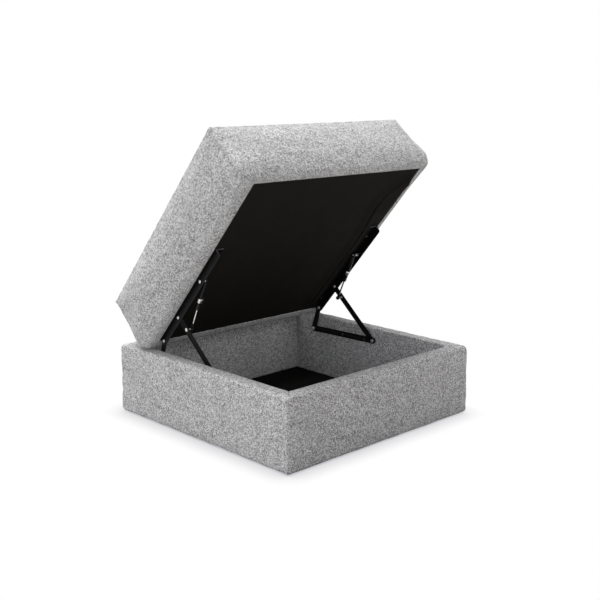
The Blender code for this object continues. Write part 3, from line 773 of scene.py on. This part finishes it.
def turned(profile, placed, steps=40):
    """A solid turned about its own Z axis: (distance along it, radius) points, then put in place."""
    solid = bmesh.new()
    turns = [2 * math.pi * k / steps for k in range(steps)]
    rings = []
    for along, radius in profile:
        radius = max(radius, 1e-7)
        rings.append([solid.verts.new((radius * math.cos(t), radius * math.sin(t), along)) for t in turns])
    skin(solid, rings)
    bmesh.ops.remove_doubles(solid, verts=solid.verts, dist=1e-6)
    solid.transform(placed)
    return mesh_from(solid)


def joined(meshes):
    solid = bmesh.new()
    for mesh in meshes:
        solid.from_mesh(mesh)
    return mesh_from(solid)


def about_x(point):
    """The frame in which a piece turned about X is made: its Z axis is the world's X."""
    return Matrix(((0, 0, 1, 0), (1, 0, 0, point.y), (0, 1, 0, point.z), (0, 0, 0, 1)))


def dome(face, height, radius, steps=7):
    """Profile of a domed head from its rim on a face to its crown. A negative height faces inboard."""
    turns = [math.pi / 2 * k / steps for k in range(steps + 1)]
    rim = [(face, radius * 0.97), (face + 0.25 * height, radius)]
    crown = [(face + height * (0.25 + 0.75 * math.sin(t)), radius * math.cos(t)) for t in turns[1:]]
    return rim + crown


def rounded_bar(start, end, radius, steps=18):
    """Outline in Y and Z of a bar with half-round ends about two points."""
    heading = math.atan2(end.z - start.z, end.y - start.y)
    outline = []
    for centre, first in ((end, heading - math.pi / 2), (start, heading + math.pi / 2)):
        for k in range(steps + 1):
            t = first + math.pi * k / steps
            outline.append((centre.y + radius * math.cos(t), centre.z + radius * math.sin(t)))
    return outline


def plate(outline, x_range, bevel=0.0004):
    """A flat plate across X with eased edges."""
    curve = bpy.data.curves.new("plate", "CURVE")
    curve.dimensions = "2D"
    curve.fill_mode = "BOTH"
    curve.extrude = (x_range[1] - x_range[0]) / 2 - bevel
    curve.bevel_depth = bevel
    curve.bevel_resolution = 2
    curve.offset = -bevel
    spline = curve.splines.new("POLY")
    spline.points.add(len(outline) - 1)
    for point, (y, z) in zip(spline.points, outline):
        point.co = (y, z, 0.0, 1.0)
    spline.use_cyclic_u = True
    maker = bpy.data.objects.new("plate", curve)
    mesh = bpy.data.meshes.new_from_object(maker)
    bpy.data.objects.remove(maker)
    middle = Vector(((x_range[0] + x_range[1]) / 2, 0.0, 0.0))
    mesh.transform(Matrix.Translation(middle) @ about_x(Vector((0.0, 0.0, 0.0))))
    solid = bmesh.new()
    solid.from_mesh(mesh)
    bmesh.ops.remove_doubles(solid, verts=solid.verts, dist=1e-7)
    return mesh_from(solid)


def on_both_sides(stem, mesh, finish, body, node="", placed=IN_PLACE):
    """Shows a right-hand mesh and its mirror image. Braces in a body or node name take the side."""
    for side, label in SIDES:
        made = mesh.copy()
        if side < 0:
            made.transform(Matrix.Scale(-1.0, 4, (1.0, 0.0, 0.0)))
            made.flip_normals()
        made.name = f"{stem}_{label}"
        stands_for = [node.format(label)] if node else []
        show(f"{stem}_{label}", made, finish, body.format(label), stands_for, placed)


def x_range_of(node):
    low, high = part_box(node)
    return low.x, high.x


RAIL_IN, WALL_FACE = x_range_of("base_bracket_right")
LINK_IN, LINK_OUT = x_range_of("rear_link_right")
NUT_FACE = RAIL_IN + PLATE + GAP


def make_links():
    for stem, node, body, start, end, radius, bevel in (
        ("short_link", "rear_link", "{}_rear_link", PIVOT_A, PIVOT_C, SHORT_LINK_RADIUS, 0.0004),
        ("long_link", "front_link", "{}_front_link", PIVOT_B, PIVOT_D, LINK_RADIUS, 0.0004),
        ("side_bar", "base_bracket", "base", PIVOT_A, PIVOT_B, BAR_RADIUS, 0.0007),
    ):
        mesh = plate(rounded_bar(start, end, radius), x_range_of(f"{node}_right"), bevel)
        on_both_sides(stem, mesh, "black_steel", body, f"{node}_{{}}")


def make_bar_screws():
    """Countersunk heads flush with the bar, each with a round recess."""
    head = [(0.002, 0.0023), (0.0004, 0.0044), (-0.0001, 0.0044), (-0.00015, 0.0040), (-0.00015, 0.0019)]
    head += [(0.0010, 0.0016), (0.0010, 0.0)]
    shank = [(0.0018, 0.0), (0.0018, 0.002), (0.022, 0.002), (0.022, 0.0)]
    for place, name in zip(BAR_SCREW_PLACES, ("middle", "front")):
        axis = about_x(PIVOT_A.lerp(PIVOT_B, place))
        screw = joined([
            turned(shifted(head, RAIL_IN), axis, 36), turned(shifted(shank, RAIL_IN), axis, 16),
        ])
        on_both_sides(f"bar_screw_{name}", screw, "dark_zinc", "base", f"bracket_{name}_screw_{{}}")


def make_rivets():
    """The pivots' rivets. The one between the long link and the rail is in two halves."""
    inboard = [*dome(LINK_IN - GAP, -RIVET_HEAD, RIVET_HEAD_RADIUS)[::-1], (LINK_IN - GAP, RIVET_RADIUS)]
    outboard = [(NUT_FACE, RIVET_RADIUS), *dome(NUT_FACE, RIVET_HEAD, NUT_RADIUS)]
    into_wall = [*inboard, (WALL_FACE, RIVET_RADIUS), (WALL_FACE, 0.0)]
    inner_half = [*inboard, (LINK_OUT, RIVET_RADIUS), (LINK_OUT, 0.0)]
    outer_half = [(RAIL_IN, 0.0), (RAIL_IN, RIVET_RADIUS), *outboard]
    for stem, profile, point, body, node in (
        ("bar_rivet_rear", into_wall, PIVOT_A, "base", "base_rear_pivot_{}"),
        ("bar_rivet_front", into_wall, PIVOT_B, "base", "base_front_pivot_{}"),
        ("rail_rivet_rear", [*inboard, *outboard], PIVOT_C, "lid", "lid_rear_pivot_{}"),
        ("link_rivet", inner_half, PIVOT_D, "{}_front_link", "front_link_rivet_{}"),
        ("rail_rivet_front", outer_half, PIVOT_D, "lid", "lid_front_pivot_{}"),
    ):
        on_both_sides(stem, turned(profile, about_x(point)), "zinc", body, node)


def make_studs():
    """The struts' studs, one on the rail and one on the long link, each with a collar."""
    eye_in, eye_out = x_range_of("gas_rod_end_right")
    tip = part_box("strut_upper_stud_right")[0].x
    shoulder = (eye_in + eye_out) / 2 + 0.0043
    collar = [(0.0, STUD_RADIUS), (0.0, 0.0045), (0.0005, COLLAR_RADIUS)]
    upper = shifted([(0.0, 0.0), (0.0, 0.0016), (0.0009, 0.0026), (0.0014, STUD_RADIUS)], tip)
    upper += shifted(collar, shoulder)
    upper += [(RAIL_IN - GAP, COLLAR_RADIUS), (RAIL_IN - GAP, STUD_RADIUS), (NUT_FACE, STUD_RADIUS)]
    upper += dome(NUT_FACE, RIVET_HEAD, NUT_RADIUS)
    on_both_sides("strut_stud_upper", turned(upper, about_x(PIVOT_E)), "zinc", "lid", "strut_upper_stud_{}")
    face = LINK_IN - GAP
    lower = [(eye_out + GAP, 0.0), (eye_out + GAP, STUD_RADIUS), *shifted(collar, face - COLLAR_WIDTH)]
    lower += [(face, COLLAR_RADIUS), (face, STUD_RADIUS), (LINK_OUT, STUD_RADIUS)]
    lower += dome(LINK_OUT + 0.00002, STUD_HEAD, NUT_RADIUS)
    mesh = turned(lower, about_x(PIVOT_F))
    on_both_sides("strut_stud_lower", mesh, "zinc", "{}_front_link", "strut_lower_stud_{}")


def make_struts():
    """The gas struts: tube with its eye, bright ferrule, rod, and rod end with its socket."""
    down = PIVOT_F - PIVOT_E
    length = down.length
    middle = sum(x_range_of("gas_rod_end_right")) / 2
    tilt = down.to_track_quat("Z", "X").to_matrix().to_4x4()
    axis = Matrix.Translation((middle, PIVOT_E.y, PIVOT_E.z)) @ tilt
    tube = [
        (0.0045, 0.0), (0.0045, 0.0040), (0.009, 0.0040), (0.0105, 0.0056), (0.0120, 0.0062),
        (0.0980, 0.0062), (0.0990, 0.0057), (0.1005, 0.0057), (0.1015, 0.0062), (0.1085, 0.0062),
        (0.1102, 0.0056), (0.1110, 0.0044), (0.1110, 0.0034), (0.1040, 0.0034), (0.1040, 0.0),
    ]
    eye = [(-0.004, 0.0032), (-0.004, 0.0052), (-0.0033, 0.0060)]
    eye += [(0.0033, 0.0060), (0.004, 0.0052), (0.004, 0.0032), eye[0]]
    ferrule = [
        (0.0685, 0.0063), (0.0685, 0.0072), (0.0697, 0.0080), (0.0725, 0.0085), (0.0760, 0.0086),
        (0.0795, 0.0085), (0.0823, 0.0080), (0.0835, 0.0072), (0.0835, 0.0063), (0.0685, 0.0063),
    ]
    rod = [(0.0990, 0.0), (0.0990, 0.0025), (0.0995, 0.0030)]
    rod += [(length - 0.0093, 0.0030), (length - 0.0093, 0.0)]
    neck = [(-0.0150, 0.0031), (-0.0150, 0.0040), (-0.0145, 0.0045), (-0.0050, 0.0045), (-0.0050, 0.0)]
    socket = [(-0.0045, 0.0), (-0.0045, 0.0050), (-0.0036, 0.0062), (-0.001, 0.0065), (0.001, 0.0065)]
    socket += [(0.0036, 0.0062), (0.0045, 0.0050), (0.0045, 0.0)]
    barrel = turned(shifted(eye, middle), about_x(PIVOT_E), 36)
    ball = turned(shifted(socket, middle), about_x(PIVOT_F), 36)
    tube_and_eye = joined([turned(tube, axis), barrel])
    rod_end = joined([turned(shifted(neck, length), axis, 32), ball])
    on_both_sides("strut_tube", tube_and_eye, "tube", "{}_strut_tube", "gas_cylinder_{}")
    on_both_sides("strut_ferrule", turned(ferrule, axis), "zinc", "{}_strut_tube")
    on_both_sides("strut_rod", turned(rod, axis, 32), "chrome", "{}_strut_rod", "gas_rod_{}")
    on_both_sides("strut_rod_end", rod_end, "tube", "{}_strut_rod", "gas_rod_end_{}")


def make_rails():
    """The steel angles under the lid, bent with a small radius, their hanging corners rounded off."""
    low, high = box_in("lid_angle_right", LID_FRAME)
    outer, bottom, top = high[0], low[2], high[2]
    bend, corner = 0.0035, 0.010
    turns = [math.pi / 2 * k / 4 for k in range(5)]
    ends = [corner * (1 - math.cos(math.pi / 2 * k / 5)) for k in range(6)]
    solid = bmesh.new()
    loops = []
    for y in [low[1] + s for s in ends] + [high[1] - s for s in ends[::-1]]:
        near = min(y - low[1], high[1] - y)
        cut = corner - math.sqrt(max(0.0, corner ** 2 - (corner - min(near, corner)) ** 2))
        inner = [(math.sin(t) * (bend - PLATE), math.cos(t) * (bend - PLATE)) for t in turns]
        outside = [(math.cos(t) * bend, math.sin(t) * bend) for t in turns]
        section = [(low[0], top), (low[0], top - PLATE)]
        section += [(outer - bend + x, top - bend + z) for x, z in inner]
        section += [(outer - PLATE, bottom + cut), (outer, bottom + cut)]
        section += [(outer - bend + x, top - bend + z) for x, z in outside]
        loops.append([solid.verts.new((x, y, z)) for x, z in section])
    skin(solid, loops)
    solid.faces.new(loops[0])
    solid.faces.new(loops[-1])
    on_both_sides("lid_angle_rail", mesh_from(solid), "black_steel", "lid", "lid_angle_{}", LID_FRAME)
    for _, label in SIDES:
        rail = bpy.data.objects[f"lid_angle_rail_{label}"]
        modifier = rail.modifiers.new("eased", "BEVEL")
        modifier.width = 0.0007
        modifier.segments = 2
        modifier.limit_method = "ANGLE"
        modifier.angle_limit = math.radians(45)
        bake_modifiers(rail)


def make_lid_screws():
    """Pan-head screws that hold the angles to the lid's frame."""
    profile = [(0.022, 0.0), (0.022, 0.002), (0.0, 0.002), (0.0, 0.0045), (-0.0009, 0.0045)]
    profile += [(-0.0016, 0.0038), (-0.0019, 0.0024), (-0.0019, 0.0016), (-0.0008, 0.0012), (-0.0008, 0.0)]
    for name in ("rear", "front"):
        low, high = box_in(f"angle_{name}_screw_right", LID_FRAME)
        middle = (low + high) / 2
        axis = Matrix.Translation((middle[0], middle[1], 0.0))
        mesh = turned(shifted(profile, low[2] + 0.002), axis, 28)
        on_both_sides(f"rail_screw_{name}", mesh, "dark_zinc", "lid", f"angle_{name}_screw_{{}}", LID_FRAME)


def make_glides():
    """Round plastic glides with an eased foot."""
    for end in ("front", "rear"):
        low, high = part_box(f"base_glide_{end}_right")
        middle = (low + high) / 2
        radius = (high.x - low.x) / 2
        profile = [(0.0, 0.0), (0.0, radius - 0.003), (0.0004, radius - 0.0012), (0.0014, radius - 0.0002)]
        profile += [(0.0022, radius), (high.z, radius), (high.z, 0.0)]
        mesh = turned(profile, Matrix.Translation((middle.x, middle.y, 0.0)), 48)
        on_both_sides(f"glide_{end}", mesh, "plastic", "base", f"base_glide_{end}_{{}}")


# Materials


class Nodes:
    """A short way to write a node tree."""

    def __init__(self, tree):
        self.tree = tree
        tree.nodes.clear()

    def put(self, socket, value):
        if isinstance(value, bpy.types.NodeSocket):
            self.tree.links.new(value, socket)
        else:
            socket.default_value = value

    def add(self, kind, inputs=None, **settings):
        node = self.tree.nodes.new(kind)
        for name, value in settings.items():
            setattr(node, name, value)
        for name, value in (inputs or {}).items():
            self.put(node.inputs[name], value)
        return node

    def math(self, operation, *values, kind="ShaderNodeMath"):
        node = self.add(kind, operation=operation)
        for socket, value in zip(node.inputs, values):
            self.put(socket, value)
        return node.outputs["Value" if operation in ("DOT_PRODUCT", "LENGTH") else 0]

    def vector(self, operation, *values):
        return self.math(operation, *values, kind="ShaderNodeVectorMath")

    def times(self, first, second):
        return self.math("MULTIPLY", first, second)

    def plus(self, first, second):
        return self.math("ADD", first, second)

    def scaled(self, value, low, high):
        """A value of 0 to 1 spread from low to high."""
        return self.math("MULTIPLY_ADD", value, high - low, low)

    def noise(self, vector, scale, detail=2.0, output="Fac"):
        inputs = {"Vector": vector, "Scale": scale, "Detail": detail}
        return self.add("ShaderNodeTexNoise", inputs).outputs[output]

    def chance(self, x, y, z=0.0):
        place = self.add("ShaderNodeCombineXYZ", {"X": x, "Y": y, "Z": z}).outputs[0]
        noise = self.add("ShaderNodeTexWhiteNoise", {"Vector": place}, noise_dimensions="3D")
        return noise.outputs["Value"]

    def ramp(self, value, *stops):
        node = self.add("ShaderNodeValToRGB", {"Fac": value})
        marks = node.color_ramp.elements
        while len(marks) < len(stops):
            marks.new(0.5)
        for mark, (place, colour) in zip(marks, stops):
            mark.position = place
            mark.color = (*colour, 1.0)
        return node.outputs["Color"]

    def blend(self, share, first, second, mode="MIX"):
        node = self.add("ShaderNodeMix", data_type="RGBA", blend_type=mode)
        for index, value in ((0, share), (6, first), (7, second)):
            self.put(node.inputs[index], value)
        return node.outputs[2]

    def place(self, output="Object"):
        return self.add("ShaderNodeTexCoord").outputs[output]

    def finish(self, shader, colour, relief, distance, strength, roughness=None):
        """Wires a shader's colour, its bump from a relief and, where it varies, its roughness."""
        inputs = {"Height": relief, "Distance": distance, "Strength": strength}
        self.put(shader.inputs["Normal"], self.add("ShaderNodeBump", inputs).outputs["Normal"])
        self.put(shader.inputs["Base Color"], colour)
        if roughness is not None:
            self.put(shader.inputs["Roughness"], roughness)

    def show_camera(self, seen, others, output):
        """Gives the output one shader for what the camera sees and another for all other rays."""
        is_camera = self.add("ShaderNodeLightPath").outputs["Is Camera Ray"]
        mix = self.add("ShaderNodeMixShader", {"Fac": is_camera})
        self.put(mix.inputs[1], others.outputs[0])
        self.put(mix.inputs[2], seen.outputs[0])
        self.put(self.add(output).inputs["Surface"], mix.outputs[0])


def new_material(name, **settings):
    """A material with a Principled shader, its plain numbers set on the shader's own sockets."""
    material = bpy.data.materials.new(name)
    material.use_nodes = True
    nodes = Nodes(material.node_tree)
    shader = nodes.add("ShaderNodeBsdfPrincipled")
    output = nodes.add("ShaderNodeOutputMaterial")
    nodes.put(output.inputs["Surface"], shader.outputs["BSDF"])
    for socket, value in settings.items():
        shader.inputs[socket.replace("_", " ")].default_value = value
    return material, nodes, shader


def grey(value, warmth=0.0):
    return (value * (1 + warmth), value, value * (1 - warmth))


def tweed():
    """Plain-woven heathered yarn, each length of yarn in its own grey, from the cloth's own coordinates,
    with painted shade where the yarn sinks between the crossing threads.
    """
    material, nodes, shader = new_material(
        "grey_tweed", Roughness=0.92, Sheen_Weight=0.12, Sheen_Roughness=0.5, Specular_IOR_Level=0.25
    )
    cloth = nodes.add("ShaderNodeUVMap", uv_map="cloth").outputs["UV"]
    drift = nodes.vector("SUBTRACT", nodes.noise(cloth, 60.0, 2.0, "Color"), (0.5, 0.5, 0.5))
    drift = nodes.vector("MULTIPLY", drift, (YARN_DRIFT, YARN_DRIFT, YARN_DRIFT))
    thread = nodes.vector("MULTIPLY", nodes.vector("ADD", cloth, drift), (1 / YARN, 1 / YARN, 1 / YARN))
    split = nodes.add("ShaderNodeSeparateXYZ", {"Vector": thread})
    u, v = split.outputs["X"], split.outputs["Y"]
    column, row = nodes.math("FLOOR", u), nodes.math("FLOOR", v)
    lifts, tones = [], []
    for along, across, line, sign, seed in ((v, u, column, 1.0, 3.0), (u, v, row, -1.0, 11.0)):
        wave = nodes.times(nodes.plus(nodes.math("SUBTRACT", along, 0.5), line), math.pi)
        over = nodes.math("MULTIPLY_ADD", nodes.math("COSINE", wave), 0.42 * sign, 0.58)
        round_back = nodes.math("SINE", nodes.times(nodes.math("FRACT", across), math.pi))
        girth = nodes.scaled(nodes.chance(line, seed), 0.72, 1.0)
        lifts.append(nodes.times(nodes.times(over, round_back), girth))
        shift = nodes.times(nodes.chance(line, seed + 1), 7.0)
        length = nodes.math("FLOOR", nodes.plus(nodes.math("DIVIDE", along, YARN_RUN), shift))
        tones.append(nodes.chance(line, length, seed + 2))
    warp_on_top = nodes.math("GREATER_THAN", lifts[0], lifts[1])
    height = nodes.math("MAXIMUM", lifts[0], lifts[1])
    tone = nodes.plus(nodes.times(warp_on_top, nodes.math("SUBTRACT", tones[0], tones[1])), tones[1])
    fibre = nodes.noise(cloth, 1500.0, 3.0)
    heather = nodes.ramp(
        nodes.plus(tone, nodes.scaled(fibre, -0.22, 0.22)),
        (0.02, grey(0.11, 0.01)), (0.22, grey(0.22)), (0.48, grey(0.36, -0.012)),
        (0.75, grey(0.51, -0.012)), (0.97, grey(0.67)),
    )
    streak = nodes.noise(nodes.vector("MULTIPLY", cloth, (120.0, 5.0, 1.0)), 1.0, 2.0)
    shade = nodes.scaled(nodes.noise(cloth, 520.0, 2.0), 0.36, 1.64)
    shade = nodes.times(shade, nodes.scaled(streak, 0.91, 1.09))
    shade = nodes.times(shade, nodes.scaled(nodes.noise(cloth, 9.0, 3.0), 0.88, 1.12))
    # Painted shade: the colour falls to half where the yarn sinks between the crossing threads.
    shade = nodes.times(shade, nodes.scaled(nodes.math("POWER", height, 0.7), 0.50, 1.12))
    tone_and_painted_shade = nodes.add("ShaderNodeCombineColor", {"Red": shade, "Green": shade, "Blue": shade})
    colour = nodes.blend(1.0, heather, tone_and_painted_shade.outputs["Color"], "MULTIPLY")
    nodes.finish(shader, colour, nodes.plus(height, nodes.scaled(fibre, -0.12, 0.12)), 0.0007, 0.8)
    return material


def black_cloth(name, value, bond=0.0024):
    """Spun-bonded black cloth with its pattern of small pressed dots."""
    material, nodes, shader = new_material(name, Roughness=0.85, Specular_IOR_Level=0.06)
    place = nodes.place()
    inputs = {"Vector": place, "Scale": 1 / bond, "Randomness": 0.15}
    dots = nodes.add("ShaderNodeTexVoronoi", inputs).outputs["Distance"]
    fibres = nodes.noise(place, 900.0, 4.0)
    patches = nodes.noise(place, 14.0, 3.0)
    tone = nodes.times(nodes.scaled(patches, 0.7, 1.3), nodes.scaled(fibres, 0.6, 1.4))
    dark, light = grey(value * 0.55, 0.09), grey(value * 1.7, 0.11)
    colour = nodes.ramp(nodes.times(tone, 0.5), (0.1, dark), (0.9, light))
    relief = nodes.plus(nodes.math("MINIMUM", dots, 0.45), nodes.scaled(fibres, -0.15, 0.15))
    nodes.finish(shader, colour, relief, 0.0004, 0.6)
    return material


def powder_coat():
    """Black powder coat with orange peel, worn to a paler grey along sharp edges."""
    material, nodes, shader = new_material("black_powder_coat", Specular_IOR_Level=0.06)
    place = nodes.place()
    peel = nodes.noise(place, 1100.0, 2.0)
    scuff = nodes.noise(place, 160.0, 4.0)
    sharp = nodes.math("SUBTRACT", nodes.add("ShaderNodeNewGeometry").outputs["Pointiness"], 0.52)
    edge = nodes.math("MAXIMUM", nodes.times(sharp, nodes.scaled(scuff, 2.0, 12.0)), 0.0)
    worn = nodes.math("MINIMUM", edge, 1.0)
    colour = nodes.blend(worn, (0.0025, 0.0025, 0.0028, 1), (0.11, 0.11, 0.112, 1))
    nodes.finish(shader, colour, peel, 0.00008, 0.5, nodes.scaled(scuff, 0.42, 0.62))
    return material


def plated(name, colour, rough, brush=1.0):
    """Plated steel with fine scratches and faint clouding."""
    material, nodes, shader = new_material(name, Metallic=1.0)
    place = nodes.place()
    cloud = nodes.noise(place, 420.0, 3.0)
    scratch = nodes.noise(nodes.vector("MULTIPLY", place, (1.0, 60.0 * brush, 60.0 * brush)), 90.0, 3.0)
    clouded = nodes.ramp(cloud, (0.25, tuple(0.72 * part for part in colour)), (0.7, colour))
    nodes.finish(shader, clouded, scratch, 0.00003, 0.4, nodes.scaled(scratch, rough * 0.6, rough * 1.5))
    return material


def moulded(name, value, rough):
    """Smooth black plastic or paint, slightly uneven in gloss."""
    material, nodes, shader = new_material(name, Specular_IOR_Level=0.25)
    place = nodes.place()
    grain = nodes.noise(place, 1400.0, 2.0)
    cloud = nodes.noise(place, 90.0, 3.0)
    colour = nodes.ramp(cloud, (0.3, grey(value * 0.8)), (0.7, grey(value * 1.3)))
    nodes.finish(shader, colour, grain, 0.00004, 0.4, nodes.scaled(cloud, rough * 0.75, rough * 1.25))
    return material


def wood(name, dark, light, ring):
    """Growth rings round a wandering axis, with fine pores along the grain."""
    material, nodes, shader = new_material(name, Specular_IOR_Level=0.3)
    place = nodes.place()
    wander = nodes.vector("MULTIPLY", nodes.noise(place, 3.0, 2.0, "Color"), (0.05, 0.02, 0.05))
    bent = nodes.vector("ADD", nodes.vector("MULTIPLY", place, (1.0, 0.12, 1.0)), wander)
    rings = nodes.math("FRACT", nodes.times(nodes.vector("LENGTH", bent), 1 / ring))
    pores = nodes.noise(nodes.vector("MULTIPLY", place, (1.0, 0.05, 1.0)), 900.0, 3.0)
    figure = nodes.plus(nodes.times(rings, 0.7), nodes.times(pores, 0.3))
    colour = nodes.ramp(figure, (0.1, light), (0.6, dark), (0.95, light))
    nodes.finish(shader, colour, pores, 0.0002, 0.5, nodes.scaled(pores, 0.55, 0.8))
    return material


def open_foam():
    material, nodes, shader = new_material("foam", Roughness=0.95, Specular_IOR_Level=0.2)
    inputs = {"Vector": nodes.place(), "Scale": 700.0}
    cells = nodes.add("ShaderNodeTexVoronoi", inputs).outputs["Distance"]
    colour = nodes.ramp(cells, (0.1, (0.55, 0.50, 0.36)), (0.6, (0.84, 0.80, 0.66)))
    nodes.finish(shader, colour, cells, 0.0006, 0.8)
    return material


def thread():
    material, nodes, shader = new_material(
        "stitching_thread", Roughness=0.7, Sheen_Weight=0.2, Sheen_Roughness=0.4
    )
    twist = nodes.noise(nodes.place(), 2600.0, 2.0)
    # The thread's dark grey, darker than the cloth, is partly its own colour and partly painted shade of
    # the stitch line.
    nodes.finish(shader, nodes.ramp(twist, (0.3, grey(0.10)), (0.7, grey(0.26))), twist, 0.0002, 0.7)
    return material


def make_finishes():
    return {
        "tweed": tweed(),
        "lining": black_cloth("black_spunbond", 0.0075),
        "floor": black_cloth("black_floor_felt", 0.003, 0.0016),
        "timber": wood("pine", (0.50, 0.33, 0.17), (0.72, 0.54, 0.33), 0.009),
        "board": wood("plywood", (0.42, 0.29, 0.16), (0.60, 0.46, 0.28), 0.014),
        "foam": open_foam(),
        "black_steel": powder_coat(),
        "zinc": plated("zinc_plate", (0.78, 0.78, 0.80), 0.30),
        "dark_zinc": plated("dark_zinc_plate", (0.13, 0.13, 0.14), 0.38),
        "chrome": plated("chromed_rod", (0.86, 0.86, 0.88), 0.10, 0.2),
        "tube": moulded("satin_black_tube", 0.007, 0.28),
        "plastic": moulded("black_plastic", 0.022, 0.50),
        "thread": thread(),
    }


FINISHES = make_finishes()


def refinish_inner_parts():
    """New materials on the CAD nodes that stay: walls, floor board, lid frame, deck and foam."""
    for name, node in frame["nodes"].items():
        if node.hide_render:
            continue
        finish = "board"
        if "rail" in name:
            finish = "timber"
        elif "foam" in name:
            finish = "foam"
        node.data.materials.clear()
        node.data.materials.append(FINISHES[finish])


# Studio


def make_floor():
    """A wide pale floor. The camera sees it as glowing white paper with a soft painted shadow where the
    object stands; other rays see dim paper.
    """
    mesh = bpy.data.meshes.new("studio_floor")
    corners = [(x * FLOOR_REACH, y * FLOOR_REACH, 0.0) for x, y in ((-1, -1), (1, -1), (1, 1), (-1, 1))]
    mesh.from_pydata(corners, [], [(0, 1, 2, 3)])
    floor = bpy.data.objects.new("studio_floor", mesh)
    bpy.context.scene.collection.objects.link(floor)
    material = bpy.data.materials.new("studio_floor")
    material.use_nodes = True
    nodes = Nodes(material.node_tree)
    # Painted shadow: the glow darkens towards its deepest colour where ambient occlusion finds the object
    # near.
    open_sky = nodes.add("ShaderNodeAmbientOcclusion", {"Distance": PAINTED_SHADOW_REACH}).outputs["AO"]
    shade = nodes.ramp(open_sky, (0.0, PAINTED_SHADOW_DEEPEST), (1.0, (1.0, 1.0, 1.0)))
    paper = nodes.add("ShaderNodeBsdfDiffuse", {"Color": (*FLOOR_BOUNCE, 1.0)})
    painted_shadow_glow = nodes.add("ShaderNodeEmission", {"Color": shade, "Strength": 1.0})
    nodes.show_camera(painted_shadow_glow, paper, "ShaderNodeOutputMaterial")
    mesh.materials.append(material)


def make_light():
    """Soft lights all round, which the camera sees as plain white."""
    scene = bpy.context.scene
    scene.world = bpy.data.worlds.new("studio")
    scene.world.use_nodes = True
    nodes = Nodes(scene.world.node_tree)
    heading = nodes.place("Generated")
    colour = (FILL_STRENGTH,) * 3
    for toward, sharpness, strength, tint in SOFT_LIGHTS:
        facing = nodes.vector("DOT_PRODUCT", heading, tuple(Vector(toward).normalized()))
        lobe = nodes.math("POWER", nodes.scaled(facing, 0.5, 1.0), sharpness)
        colour = nodes.vector("MULTIPLY_ADD", lobe, tuple(strength * part for part in tint), colour)
    studio = nodes.add("ShaderNodeBackground", {"Color": colour, "Strength": 1.0})
    white = nodes.add("ShaderNodeBackground", {"Color": (1.0, 1.0, 1.0, 1.0), "Strength": 1.0})
    nodes.show_camera(white, studio, "ShaderNodeOutputWorld")
    scene.view_settings.view_transform = "Standard"


def make_camera():
    scene = bpy.context.scene
    camera = bpy.data.objects.new("camera", bpy.data.cameras.new("camera"))
    scene.collection.objects.link(camera)
    azimuth, elevation = math.radians(CAMERA_AZIMUTH), math.radians(CAMERA_ELEVATION)
    level = math.cos(elevation)
    back = Vector((math.sin(azimuth) * level, -math.cos(azimuth) * level, math.sin(elevation)))
    camera.location = Vector(CAMERA_TARGET) + back * CAMERA_DISTANCE
    camera.rotation_mode = "QUATERNION"
    camera.rotation_quaternion = (-back).to_track_quat("-Z", "Y")
    camera.data.sensor_width = 36.0
    camera.data.lens = CAMERA_LENS
    scene.camera = camera


def main():
    lid = make_lid_upholstery()
    box = make_box_upholstery()
    make_lid_stitches(lid)
    make_box_stitches(box)
    make_lid_dust_cover()
    make_floor_lining()
    make_base_dust_cover()
    make_links()
    make_bar_screws()
    make_rivets()
    make_studs()
    make_struts()
    make_rails()
    make_lid_screws()
    make_glides()
    refinish_inner_parts()
    make_floor()
    make_light()
    make_camera()


main()
